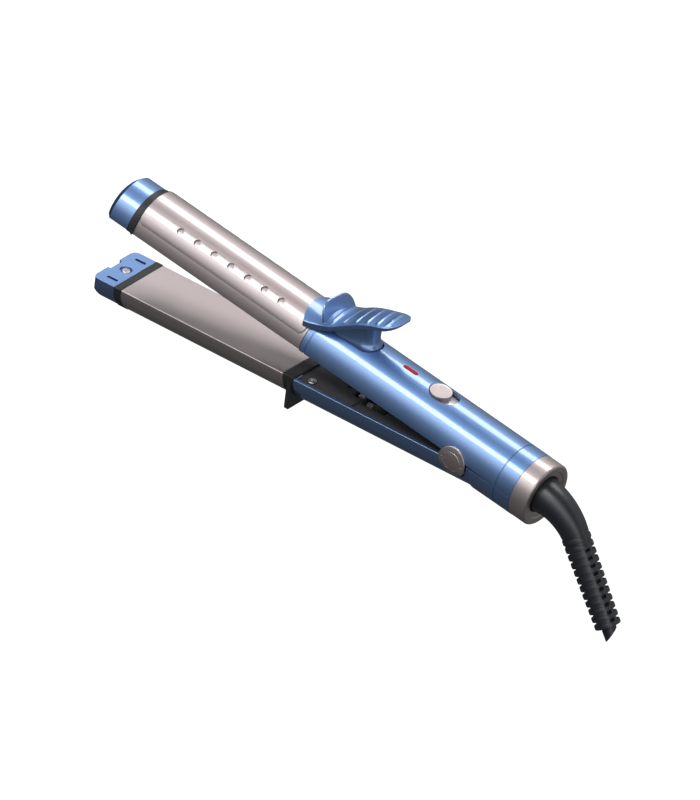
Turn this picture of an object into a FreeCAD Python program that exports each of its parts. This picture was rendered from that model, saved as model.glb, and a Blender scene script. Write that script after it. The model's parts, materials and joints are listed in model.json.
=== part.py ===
import FreeCAD, Part
import math
import os

# Two-in-one hair iron: two flat heating plates that face each other, a half-round barrel on the
# upper arm, and a vented clamp plate that a thumb lever lifts off the barrel.
# Millimetres. While modelling, +X runs along the handle towards the cord, +Z is up through the thumb
# lever, and X = 0, Y = Z = 0 is the handle's axis at the front face of the end ring. The lower arm is
# drawn closed, with its heating face at Z = 0, and is then swung open about the pivot.

V = FreeCAD.Vector

# ---------------------------------------------------------------- driving dimensions
handle_radius = 17.5
handle_length = 139.9
shell_wall = 2.0
seam_height = 1.0            # lower edge of the upper shell, ahead of the pivot
groove_depth = 0.35
groove_width = 0.7
front_band = 3.1             # from the handle's front edge to the groove behind its collar
rear_groove_setback = 10.5

ring_radius = handle_radius - 0.1
ring_length = 10.0
ring_rim_radius = 2.2
ring_opening_radius = 10.0
ring_shoulder = 2.2          # depth of the pocket that holds the swivel flange
ring_dish = 1.6
swivel_pocket_radius = ring_radius - 4.6

pivot_setback = 37.3         # pivot axis ahead of the end ring
pivot_drop = 1.7             # pivot axis under the handle axis
pivot_pin_radius = 2.5
pivot_cap_radius = 8.4
pivot_cap_rise = 1.4         # how far the cap's face stands out from the handle
open_angle = 8.8             # between the arms when the spring has opened them
plate_plane_drop = 0.9       # the lower plate's face is this far under the handle axis when shut
split_behind_pivot = 9.6     # the lower arm's shell ends this far behind the pivot

barrel_length = 109.6
barrel_radius = handle_radius + 0.1
barrel_floor = 1.6           # flat underside of the half-round barrel
barrel_wall = 1.5
plate_rest_gap = 0.35        # upper plate above the lower plate when the arms are shut
upper_plate_width = 2 * barrel_radius - 6.2
insulator_width = 4.2
insulator_radius = barrel_radius + 0.2
insulator_flange = 1.0
insulator_flange_radius = barrel_radius + 1.05
upper_tip_length = 14.7
upper_tip_bevel = 2.7        # length of the bevel round the front of the upper tip
upper_tip_bevel_drop = 4.2
upper_tip_floor = 1.8
holder_length = 12.6
holder_in_barrel = 9.8

clamp_thickness = 1.2
clamp_radius = barrel_radius + clamp_thickness + 0.3
clamp_half_angle = 61.0
clamp_corner = 4.0
vent_count = 7
vent_pitch = 11.08
vent_radius = 1.85
vent_angle = 35.0
vent_rear_setback = 21.0     # last vent ahead of the handle's front edge

lever_pivot_setback = 10.0   # lever pin behind the handle's front edge
lever_pivot_height = handle_radius - 6.0
lever_pin_radius = 1.5
lever_angle = 18.0
lever_skirt_half = 7.4
lever_skirt_floor = handle_radius - 5.1
lever_spring_radius = 3.2
lever_spring_setback = 17.0  # spring behind the lever pin
thumb_wall_half = 12.0
thumb_wall_base = handle_radius + 4.0
thumb_wall_top = handle_radius + 13.5
thumb_wall_thickness = 2.2
thumb_wall_setback = 5.0     # foot of the upright wall behind the handle's front edge
thumb_wall_lean = 12.0

lens_length = 9.0
lens_width = 2.3
lens_setback = 84.4          # middle of the lens ahead of the end ring
button_setback = 64.4
button_radius = 6.0
button_top = handle_radius + 0.3
button_travel = 4.5
button_lip_clearance = 0.4

cover_thickness = 2.0
cover_recess = 0.2
board_length = handle_length - 87.9
board_width = 11.6
board_thickness = 1.6
board_height = 7.5
board_setback = 46.9

plate_width = 2 * barrel_radius - 0.8
plate_thickness = 2.4
plate_edge_radius = 0.7
lower_handle_radius = handle_radius - 0.1
lower_ring_width = 4.3
lower_tip_length = 13.8
lower_tip_corner = 3.6
lower_rim = -0.4             # upper edge of the lower handle shell
tray_recess = 1.0
tray_thickness = 2.0
bracket_length = 6.75
fin_thickness = 2.3
fin_setback = 1.8            # fin ahead of the bracket's rear face
fin_depth = 20.0
fin_half_width = plate_width / 2 - 0.5
fin_corner = 1.5

tip_screw_setback = 8.0      # screw behind the front of a tip cap
tip_recess_radius = 3.26
tip_slot_spacing = 23.0
tip_slot_length = 6.3
tip_slot_width = 1.8
tip_notch_half = 4.7
tip_notch_depth = 1.7

lock_travel = 3.2
lock_hook_setback = 107.2    # front hook ahead of the end ring
lock_hook_pitch = 7.8
hook_thickness = 2.2
hook_nose = 1.4
catch_depth = 5.8

relief_bend_radius = 29.4
relief_bend_angle = 48.65
relief_neck_radius = 9.7
relief_end_radius = 7.3
relief_core_radius = 5.3
relief_tail_radius = 3.9
relief_tail_length = 5.4
rib_count = 12
rib_pitch = 4.186
rib_width = 2.7
rib_radius = 7.3
rib_radius_last = 7.05
first_rib = 2.2
cord_radius = 3.0

# clearances
small_gap = 0.2
slide_gap = 0.3
swing_gap = 0.4
running_gap = 0.06

# ---------------------------------------------------------------- derived places
handle_front = -handle_length
inner_radius = handle_radius - shell_wall
pivot_x = -pivot_setback
pivot_z = -pivot_drop
split_x = pivot_x + split_behind_pivot
barrel_rear = handle_front - small_gap
barrel_front = barrel_rear - barrel_length
upper_tip_rear = barrel_front - insulator_width
upper_tip_front = upper_tip_rear - upper_tip_length
barrel_inner = barrel_radius - barrel_wall
plate_top_step = barrel_floor + barrel_wall
plate_flange_top = plate_top_step + 1.2
upper_plate_face = plate_rest_gap - plate_plane_drop
cover_bottom = seam_height + cover_recess
cover_top = cover_bottom + cover_thickness
lever_pivot_x = handle_front + lever_pivot_setback
clamp_rear = handle_front - 1.6
clamp_front = barrel_front + small_gap
clamp_inner = clamp_radius - clamp_thickness
lens_x = -lens_setback
button_x = -button_setback
board_rear = -board_setback
board_front = board_rear - board_length
board_top = board_height + board_thickness

lower_radius = plate_width / 2
low_pivot_z = pivot_z + plate_plane_drop   # the pivot's height over the lower plate's face
lower_shell_front = handle_front + 0.5
bracket_front = lower_shell_front - bracket_length
lower_tip_rear = upper_tip_rear - small_gap
plate_front = lower_tip_rear + lower_ring_width
lower_tip_front = lower_tip_rear - lower_tip_length
tray_top = lower_rim - tray_recess
tray_bottom = tray_top - tray_thickness
FAR = 400.0


# ---------------------------------------------------------------- helpers
def box(x0, x1, y0, y1, z0, z1):
    return Part.makeBox(x1 - x0, y1 - y0, z1 - z0, V(x0, y0, z0))


def rod_x(radius, x0, x1, y=0.0, z=0.0):
    return Part.makeCylinder(radius, x1 - x0, V(x0, y, z), V(1, 0, 0))


def rod_y(radius, y0, y1, x, z):
    return Part.makeCylinder(radius, y1 - y0, V(x, y0, z), V(0, 1, 0))


def rod_z(radius, z0, z1, x, y=0.0):
    return Part.makeCylinder(radius, z1 - z0, V(x, y, z0), V(0, 0, 1))


def join(*shapes):
    return shapes[0].multiFuse(list(shapes[1:])).removeSplitter() if len(shapes) > 1 else shapes[0]


def less(shape, *cutters):
    for cutter in cutters:
        shape = shape.cut(cutter)
    return shape


def outline(start, *steps):
    """Closed wire. A step is a point, for a line, or a (middle, end) pair, for an arc."""
    edges = []
    here = start
    for step in steps:
        if isinstance(step, tuple):
            edges.append(Part.Arc(here, step[0], step[1]).toShape())
            here = step[1]
        else:
            edges.append(Part.LineSegment(here, step).toShape())
            here = step
    if here.distanceToPoint(start) > 1e-6:
        edges.append(Part.LineSegment(here, start).toShape())
    return Part.Wire(edges)


def extrude(wire, direction):
    return Part.Face(wire).extrude(direction)


def turned(start, *steps):
    """Solid of revolution about the X axis; the points are (x, 0, radius)."""
    return Part.Face(outline(start, *steps)).revolve(V(0, 0, 0), V(1, 0, 0), 360)


def above(shape, z):
    return shape.common(box(-FAR, FAR, -FAR, FAR, z, FAR))


def below(shape, z):
    return shape.common(box(-FAR, FAR, -FAR, FAR, -FAR, z))


def stadium(x0, x1, half, z):
    """Slot outline along X at height z, with round ends."""
    return outline(
        V(x0 + half, -half, z),
        V(x1 - half, -half, z),
        (V(x1, 0, z), V(x1 - half, half, z)),
        V(x0 + half, half, z),
        (V(x0, 0, z), V(x0 + half, -half, z)),
    )


def stadium_block(x0, x1, half, z0, z1):
    return extrude(stadium(x0, x1, half, z0), V(0, 0, z1 - z0))


def arch(radius, x0, x1, floor):
    """Half-round bar of the upper arm: round on top, flat at the floor."""
    return above(rod_x(radius, x0, x1), floor)


def trough(radius, x0, x1, rim):
    """Half-round bar of the lower arm: flat on top at the rim, round below."""
    return below(rod_x(radius, x0, x1), rim)


def mirrored(shape):
    return shape.mirror(V(0, 0, 0), V(0, 1, 0))


def both_sides(shape):
    return [shape, mirrored(shape)]


def wire_run(points, radius):
    """Insulated lead along straight runs, with round corners of its own radius."""
    pieces = []
    for a, b in zip(points, points[1:]):
        pieces.append(Part.makeCylinder(radius, (b - a).Length, a, b - a))
    for corner in points[1:-1]:
        pieces.append(Part.makeSphere(radius, corner))
    return join(*pieces)


def screw(x, y, head_z, point_z, head_radius, shank_radius):
    """Pan-head screw along Z; it may point up or down. The head has a cross recess."""
    down = 1.0 if point_z < head_z else -1.0
    head_height = 1.1
    head = Part.makeCylinder(head_radius, head_height, V(x, y, head_z), V(0, 0, -down))
    shank_start = V(x, y, head_z - down * head_height)
    shank = Part.makeCylinder(shank_radius, abs(point_z - shank_start.z), shank_start, V(0, 0, -down))
    slot_half = 0.3
    low, high = sorted((head_z - down * 0.6, head_z + down * 0.2))
    reach = head_radius * 0.62
    recess_a = box(x - reach, x + reach, y - slot_half, y + slot_half, low, high)
    recess_b = box(x - slot_half, x + slot_half, y - reach, y + reach, low, high)
    return less(join(head, shank), recess_a, recess_b)


def coil_spring(x, z0, z1, radius, wire, turns):
    """Compression spring along Z between z0 and z1, drawn as one closed ring for each turn."""
    pitch = (z1 - z0 - wire) / (turns - 1)
    heights = [z0 + wire / 2 + n * pitch for n in range(turns)]
    return [Part.makeTorus(radius, wire / 2, V(x, 0, z), V(0, 0, 1)) for z in heights]


def swing(shape, angle):
    """A copy turned about the pivot; a negative angle opens the lower arm."""
    turned_copy = shape.copy()
    turned_copy.rotate(V(pivot_x, 0, pivot_z), V(0, 1, 0), angle)
    return turned_copy


def to_lower(shape):
    """From the handle's drawing to the lower arm's, whose Z = 0 is the face of its plate."""
    moved = shape.copy()
    moved.translate(V(0, 0, plate_plane_drop))
    return moved


def open_lower(shape):
    """Puts a piece of the lower arm in its place and swings it open."""
    moved = shape.copy()
    moved.translate(V(0, 0, -plate_plane_drop))
    return swing(moved, -open_angle)


# ---------------------------------------------------------------- handle shells
cover_screw_places = [(lens_x - 9.0, 10.0), (lens_x - 9.0, -10.0), (board_rear - 4.0, 10.0), (board_rear - 4.0, -10.0)]
rear_screw_places = [(-17.0, 8.0), (-17.0, -8.0)]
boss_radius = 2.7
pilot_radius = 1.1
slot_front = lever_pivot_x - 5.5
slot_rear = lever_pivot_x + 26.8
slot_half = lever_skirt_half + swing_gap


def ring_groove(x):
    return less(rod_x(handle_radius + 1, x, x + groove_width), rod_x(handle_radius - groove_depth, x, x + groove_width))


def upper_handle_shell():
    tube = less(rod_x(handle_radius, handle_front, 0), rod_x(inner_radius, handle_front, 0))
    shell = join(
        above(tube, seam_height).common(box(-FAR, split_x, -FAR, FAR, -FAR, FAR)),
        above(tube, 0).common(box(split_x, FAR, -FAR, FAR, -FAR, FAR)),
    )
    envelope = rod_x(handle_radius - shell_wall / 2, handle_front, 0)
    bosses = [rod_z(boss_radius, cover_top, handle_radius, x, y) for x, y in cover_screw_places]
    bosses += [rod_z(boss_radius, 0, handle_radius, x, y) for x, y in rear_screw_places]
    tower = box(
        lever_pivot_x - 3.2, lever_pivot_x + 3.2, slot_half, lever_pin_half, lever_pivot_height - 2.6, handle_radius
    )
    bosses += both_sides(tower)
    shell = join(shell, *[boss.common(envelope) for boss in bosses])
    pilots = [rod_z(pilot_radius, 0, 9.0, x, y) for x, y in cover_screw_places + rear_screw_places]
    lever_slot = stadium_block(slot_front - slot_half, slot_rear, slot_half, 8.0, FAR)
    lever_slot = lever_slot.common(box(slot_front, FAR, -FAR, FAR, -FAR, FAR))
    lens_slot = stadium_block(
        lens_x - lens_length / 2 - 0.1, lens_x + lens_length / 2 + 0.1, lens_width / 2 + 0.1, 0, FAR
    )
    opening = button_radius + button_lip_clearance
    button_slot = stadium_block(button_x - opening, button_x + opening + button_travel, opening, 0, FAR)
    pin_bore = rod_y(lever_pin_radius, -lever_pin_half, lever_pin_half, lever_pivot_x, lever_pivot_height)
    stem_hole = rod_y(pivot_pin_radius + 1.0, -FAR, FAR, pivot_x, pivot_z)
    grooves = [ring_groove(handle_front + front_band), ring_groove(-rear_groove_setback)]
    return less(shell, lever_slot, lens_slot, button_slot, pin_bore, stem_hole, *pilots, *grooves)


def rear_lower_shell():
    tube = less(rod_x(handle_radius, -60, 0), rod_x(inner_radius, -60, 0))
    shell = below(tube, 0)
    clear_ahead = box(-FAR, split_x + swing_gap, -FAR, FAR, -FAR, FAR)
    shell = less(shell, swing(clear_ahead, -open_angle))
    bosses = [rod_z(boss_radius, -handle_radius, 0, x, y) for x, y in rear_screw_places]
    envelope = rod_x(handle_radius - shell_wall / 2, -60, 0)
    shell = join(shell, *[boss.common(envelope) for boss in bosses])
    holes = [rod_z(1.4, -FAR, 1, x, y) for x, y in rear_screw_places]
    sinks = [rod_z(2.6, -FAR, -11.6, x, y) for x, y in rear_screw_places]
    return less(shell, ring_groove(-rear_groove_setback), *holes, *sinks)


def end_ring():
    rim_start = ring_length - ring_rim_radius
    rim_low = ring_radius - ring_rim_radius
    slant = ring_rim_radius * math.sqrt(0.5)
    dish_x = ring_length - ring_dish
    spigot = inner_radius - small_gap
    return turned(
        V(-4.0, 0, swivel_pocket_radius),
        V(-4.0, 0, spigot),
        V(0, 0, spigot),
        V(0, 0, ring_radius),
        V(rim_start, 0, ring_radius),
        (V(rim_start + slant, 0, rim_low + slant), V(ring_length, 0, rim_low)),
        (V(dish_x + 0.9, 0, (rim_low + ring_opening_radius) / 2), V(dish_x, 0, ring_opening_radius + 0.4)),
        V(dish_x - 0.4, 0, ring_opening_radius),
        V(ring_shoulder, 0, ring_opening_radius),
        V(ring_shoulder, 0, swivel_pocket_radius),
    )


def swivel_retainer():
    disc = rod_x(inner_radius - small_gap, -6.2, -4.0)
    return less(disc, rod_x(6.0, -6.2, -4.0))


def swivel_terminal():
    block = join(rod_x(9.5, -14.0, -8.0), rod_x(5.6, -8.0, -3.9))
    return less(block, rod_x(1.2, -10.0, -3.9))


# ---------------------------------------------------------------- inside the upper handle
spring_x = -58.0
spring_well_radius = 5.2
arm_spring_radius = 3.9
arm_spring_wire = 0.9
well_ceiling = 5.4
ear_outer = 11.6
ear_inner = 8.4
ear_radius = 5.0
catch_x = -lock_hook_setback + 6.9
fork_half = 6.6
fork_inner = 4.2
front_hook_half = 3.6


def catch_lug(x, y0, y1):
    """Downward hook of the upper arm; its ledge points forward."""
    stem = box(x, x + 2.0, y0, y1, -catch_depth, cover_bottom + 0.5)
    ledge = box(x - 1.6, x, y0, y1, -catch_depth, -catch_depth + 1.2)
    return join(stem, ledge)


def upper_inner_cover():
    half = math.sqrt(inner_radius ** 2 - cover_top ** 2) - small_gap
    plate = box(handle_front + 0.4, split_x - 0.6, -half, half, cover_bottom, cover_top)
    well = rod_z(spring_well_radius + 1.3, cover_bottom, well_ceiling + 1.4, spring_x)
    posts = [rod_z(2.0, cover_top, board_height, x) for x in (board_front + 5.0, board_rear - 5.0)]
    ears = []
    for ear in both_sides(rod_y(ear_radius, ear_inner, ear_outer, pivot_x, pivot_z)):
        ears.append(ear)
    for web in both_sides(box(pivot_x - ear_radius, pivot_x + ear_radius, ear_inner, ear_outer, pivot_z, cover_bottom)):
        ears.append(web)
    catches = [catch_lug(catch_x, -front_hook_half, front_hook_half)]
    catches += both_sides(catch_lug(catch_x + lock_hook_pitch, fork_inner, fork_half))
    cover = join(plate, well, *posts, *ears, *catches)
    window = box(pivot_x - 6.6, split_x + 2, -ear_inner + 0.01, ear_inner - 0.01, -FAR, cover_top + 1)
    pin_bore = rod_y(pivot_pin_radius, -ear_outer, ear_outer, pivot_x, pivot_z)
    ear_slots = both_sides(rod_y(tray_ear_radius + swing_gap, ear_outer + 0.01, FAR, pivot_x, pivot_z))
    well_bore = rod_z(spring_well_radius, -1, well_ceiling, spring_x)
    holes = [rod_z(1.3, 0, cover_top + 1, x, y) for x, y in cover_screw_places]
    sinks = [rod_z(2.5, 0, cover_bottom + 1.2, x, y) for x, y in cover_screw_places]
    return less(cover, window, pin_bore, well_bore, *ear_slots, *holes, *sinks)


def barrel_holder():
    front = barrel_rear - holder_in_barrel
    in_barrel = arch(barrel_inner - small_gap, front, barrel_rear, plate_flange_top + small_gap)
    in_handle = arch(inner_radius - small_gap, barrel_rear, front + holder_length, cover_top + small_gap)
    return less(join(in_barrel, in_handle), rod_x(12.5, front, front + holder_length))


def circuit_board():
    board = box(board_front, board_rear, -board_width / 2, board_width / 2, board_height, board_top)
    relay = box(board_front + 3, board_front + 12, -4.5, 4.5, board_top, board_top + 4.0)
    chip = box(board_front + 17, board_front + 22, -3, 3, board_top, board_top + 1.2)
    return join(board, relay, chip)


def power_led():
    body = rod_z(1.5, board_top, board_top + 3.0, lens_x)
    return join(body, rod_z(1.9, board_top, board_top + 0.7, lens_x))


def indicator_lens():
    cap = stadium_block(lens_x - lens_length / 2, lens_x + lens_length / 2, lens_width / 2, board_top + 4.4, FAR)
    foot = stadium_block(lens_x - lens_length / 2 - 1, lens_x + lens_length / 2 + 1, lens_width / 2 + 1, inner_radius - 1.9, inner_radius - 0.9)
    return join(cap.common(rod_x(handle_radius + 0.15, -FAR, 0)), foot)


switch_length = 20.0
switch_top = board_top + 2.5
slider_top = inner_radius - 1.9
slider_thickness = 1.2
nub_half = 1.4


def slide_switch():
    body = box(button_x - 8.5, button_x - 8.5 + switch_length, -4, 4, board_top, switch_top)
    slot = box(
        button_x - nub_half - 0.5, button_x + nub_half + 0.5 + button_travel, -nub_half - 0.3, nub_half + 0.3,
        board_top + 1.0, switch_top,
    )
    return less(body, slot)


def slide_button():
    disc = rod_z(button_radius, slider_top - 0.1, button_top, button_x)
    rim = [edge for edge in disc.Edges if abs(edge.BoundBox.ZMin - button_top) < 0.01]
    disc = disc.makeFillet(0.5, rim)
    reach = button_radius + button_lip_clearance + button_travel + 1.2
    half = math.sqrt(inner_radius ** 2 - slider_top ** 2) - 0.5
    slider = stadium_block(button_x - reach, button_x + reach, half, slider_top - slider_thickness, slider_top)
    nub = box(
        button_x - nub_half, button_x + nub_half, -nub_half, nub_half, board_top + 1.3, slider_top - slider_thickness
    )
    return join(disc, slider, nub)


def cover_screws():
    return [screw(x, y, cover_bottom + 0.05, 8.5, 2.3, pilot_radius) for x, y in cover_screw_places]


def rear_shell_screws():
    return [screw(x, y, -12.8, 7.5, 2.4, pilot_radius) for x, y in rear_screw_places]


def power_leads():
    ends = [(board_rear, -14.0)]
    return [rod_x(0.9, a, b, y, board_height + 0.8) for a, b in ends for y in (3.0, -3.0)]


def heater_leads():
    leads = []
    heater_rear = barrel_rear - heater_end_gap
    for side in (1, -1):
        leads.append(wire_run([
            V(heater_rear, side * 8.2, plate_flange_top + 1.5),
            V(handle_front + 3.0, side * 8.6, 5.4),
            V(lever_pivot_x - 1.0, side * 11.8, 5.2),
            V(board_front - 6.0, side * 11.8, 5.2),
            V(board_front + 1.5, side * 4.6, board_height - 0.85),
        ], 0.8))
    return leads


# ---------------------------------------------------------------- heated upper arm
heater_end_gap = 15.8
heater_height = 3.0


def barrel():
    tube = less(
        arch(barrel_radius, barrel_front, barrel_rear, barrel_floor),
        arch(barrel_inner, barrel_front, barrel_rear, plate_top_step),
    )
    half = upper_plate_width / 2 + small_gap
    window = box(barrel_front + 1.8, barrel_rear - 1.8, -half, half, barrel_floor - 1, plate_top_step + 1)
    return less(tube, window)


def upper_heating_plate():
    half = upper_plate_width / 2
    face = box(barrel_front + 2, barrel_rear - 2, -half, half, upper_plate_face, plate_top_step)
    long_edges = [
        edge for edge in face.Edges
        if abs(edge.BoundBox.ZMax - upper_plate_face) < 0.01 and edge.BoundBox.XLength > barrel_length / 2
    ]
    face = face.makeFillet(plate_edge_radius, long_edges)
    flange_half = math.sqrt(barrel_inner ** 2 - plate_flange_top ** 2) - small_gap
    flange = box(barrel_front + 1, barrel_rear - 1, -flange_half, flange_half, plate_top_step, plate_flange_top)
    return join(face, flange)


def upper_heater():
    return box(
        barrel_front + heater_end_gap, barrel_rear - heater_end_gap, -9, 9,
        plate_flange_top, plate_flange_top + heater_height,
    )


def heat_spreader():
    """Carries heat from the heater up to the round of the barrel."""
    base = plate_flange_top + heater_height
    x0 = barrel_front + heater_end_gap
    x1 = barrel_rear - heater_end_gap
    foot = box(x0, x1, -9, 9, base, base + 1.6)
    web = box(x0, x1, -1.5, 1.5, base, barrel_radius)
    crown = less(arch(barrel_inner, x0, x1, barrel_inner * 0.86), arch(barrel_inner - 1.6, x0, x1, 0))
    return join(foot, web.common(rod_x(barrel_inner, x0, x1)), crown)


def thermal_fuse():
    x1 = barrel_rear - 2.5
    x0 = barrel_rear - heater_end_gap + 1.0
    z = plate_flange_top + 1.7
    return join(rod_x(1.7, x0, x1, 0, z), rod_x(0.5, x0 - 0.8, x1 + 0.8, 0, z))


def upper_insulator_ring():
    flange_front = barrel_front - insulator_flange
    ring = join(
        arch(insulator_radius, upper_tip_rear, flange_front, barrel_floor),
        arch(insulator_flange_radius, flange_front, barrel_front, barrel_floor),
        arch(barrel_inner - small_gap, barrel_front, barrel_front + 3.4, plate_flange_top + small_gap),
        arch(barrel_radius - shell_wall - small_gap, upper_tip_rear - 3.2, upper_tip_rear, upper_tip_floor + 2.4),
    )
    ring = less(ring, above(rod_x(11.5, upper_tip_rear - 4, barrel_front + 4), plate_flange_top + small_gap))
    tongue_front = upper_tip_front + tip_screw_setback - 4.0
    tongue = box(tongue_front, upper_tip_rear + 0.5, -4, 4, upper_tip_floor + 2.4, upper_tip_floor + 7.0)
    hole = rod_z(pilot_radius, 0, FAR, upper_tip_front + tip_screw_setback)
    return less(join(ring, tongue), hole)


def upper_tip_cap():
    bevel_end = upper_tip_front + upper_tip_bevel
    rim = barrel_radius - upper_tip_bevel_drop
    solid = turned(
        V(upper_tip_front, 0, 0),
        V(upper_tip_front, 0, rim),
        (V(upper_tip_front + upper_tip_bevel * 0.42, 0, rim + upper_tip_bevel_drop * 0.6), V(bevel_end, 0, barrel_radius)),
        V(upper_tip_rear, 0, barrel_radius),
        V(upper_tip_rear, 0, 0),
    )
    cap = above(solid, upper_tip_floor)
    hollow = arch(barrel_radius - shell_wall, upper_tip_front + 2.4, upper_tip_rear, upper_tip_floor + 2.2)
    cap = less(cap, hollow)
    screw_x = upper_tip_front + tip_screw_setback
    half_key = tip_slot_width / 2 - slide_gap
    key_y = tip_slot_spacing / 2
    key = box(
        tip_slot_front() + 0.6, tip_slot_front() + tip_slot_length - 0.6, key_y - half_key, key_y + half_key,
        -plate_plane_drop - 1.4, upper_tip_floor + 0.5,
    )
    cap = join(cap, *both_sides(key))
    return less(cap, rod_z(1.4, 0, 6, screw_x), rod_z(tip_recess_radius, 0, upper_tip_floor + 1.3, screw_x))


def tip_slot_front():
    return lower_tip_front + 5.2


def upper_tip_screw():
    return screw(upper_tip_front + tip_screw_setback, 0, upper_tip_floor + 0.15, upper_tip_floor + 6.5, 2.6, pilot_radius)


# ---------------------------------------------------------------- clamp and thumb lever
lever_pin_half = 11.2
rivet_places = [(handle_front - 4.6, 20.0), (handle_front - 4.6, -20.0)]


def clamp_plate():
    bend = less(rod_x(clamp_radius, clamp_front, clamp_rear), rod_x(clamp_inner, clamp_front, clamp_rear))
    edge = math.radians(clamp_half_angle)
    low = clamp_radius * math.cos(edge)
    side = outline(
        V(clamp_front, -FAR, FAR),
        V(clamp_front, -FAR, low + clamp_corner),
        (
            V(clamp_front + clamp_corner * 0.293, -FAR, low + clamp_corner * 0.293),
            V(clamp_front + clamp_corner, -FAR, low),
        ),
        V(clamp_rear - clamp_corner, -FAR, low),
        (
            V(clamp_rear - clamp_corner * 0.293, -FAR, low + clamp_corner * 0.293),
            V(clamp_rear, -FAR, low + clamp_corner),
        ),
        V(clamp_rear, -FAR, FAR),
    )
    plate = bend.common(extrude(side, V(0, 2 * FAR, 0)))
    holes = []
    for n in range(vent_count):
        x = handle_front - vent_rear_setback - n * vent_pitch
        for side_sign in (1, -1):
            angle = math.radians(vent_angle) * side_sign
            holes.append(Part.makeCylinder(vent_radius, 30, V(x, 0, 0), V(0, math.sin(angle), math.cos(angle))))
    for x, turn in rivet_places:
        angle = math.radians(turn)
        holes.append(Part.makeCylinder(1.3, 30, V(x, 0, 0), V(0, math.sin(angle), math.cos(angle))))
    return less(plate, *holes)


def clamp_rivets():
    rivets = []
    for x, turn in rivet_places:
        angle = math.radians(turn)
        axis = V(0, math.sin(angle), math.cos(angle))
        rivets.append(Part.makeCylinder(1.3, 2.0, V(x, 0, 0) + axis * (clamp_inner + 0.1), axis))
    return rivets


# thumb lever cross-sections: distance behind the handle's front edge, half width, height of the
# side edge and of the crown over the handle, thickness at the side, thickness in the middle
lever_sections = [
    (-9.0, 14.2, -1.9, 2.3, 2.2, 1.0),
    (-2.0, 14.1, -0.6, 3.5, 2.6, 2.0),
    (5.0, 13.6, 1.4, 5.3, 3.9, 3.0),
    (12.0, 13.4, 4.8, 6.7, 3.0, 3.2),
    (18.7, 12.7, 9.8, 11.4, 2.6, 3.2),
    (25.3, 11.2, 14.2, 15.5, 2.3, 3.0),
    (31.0, 10.4, 17.1, 18.3, 2.1, 2.8),
    (38.2, 10.0, 20.2, 21.3, 1.9, 2.4),
    (46.0, 10.0, 23.1, 24.1, 1.6, 2.0),
]
# pedestal sections: height, half width, and how far it pulls in from the skirt at each end
pedestal_sections = [
    (lever_skirt_floor, 0.0, 0.0),
    (handle_radius - 3.7, 0.0, 0.0),
    (handle_radius - 2.3, 0.0, 0.0),
    (handle_radius - 0.9, 0.0, 0.0),
    (handle_radius + 1.3, 1.4, 1.1),
    (handle_radius + 5.0, 2.5, 2.3),
    (handle_radius + 9.5, 2.7, 2.8),
    (handle_radius + 13.5, 1.6, 2.2),
    (handle_radius + 18.0, -2.4, -0.4),
]
lever_front = handle_front - 8.6
lever_tip = handle_front + 45.4
skirt_front = lever_pivot_x - 4.8
skirt_rear = lever_pivot_x + 25.0


def lever_section_wire(section):
    offset, half, edge_rise, crown_rise, side_thick, mid_thick = section
    x = handle_front + offset
    edge = handle_radius + edge_rise
    crown = handle_radius + crown_rise
    return outline(
        V(x, -half, edge - side_thick),
        V(x, -half, edge),
        (V(x, 0, crown), V(x, half, edge)),
        V(x, half, edge - side_thick),
        (V(x, 0, crown - mid_thick), V(x, -half, edge - side_thick)),
    )


def lever_core_wire(section):
    """What lies under the middle of the blade's thickness; it trims the pedestal."""
    offset, half, edge_rise, crown_rise, side_thick, mid_thick = section
    x = handle_front + offset
    crown = handle_radius + crown_rise
    side = handle_radius + edge_rise - side_thick / 2
    return outline(
        V(x, -half, 4),
        V(x, -half, side),
        (V(x, 0, crown - mid_thick / 2), V(x, half, side)),
        V(x, half, 4),
    )


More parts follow.
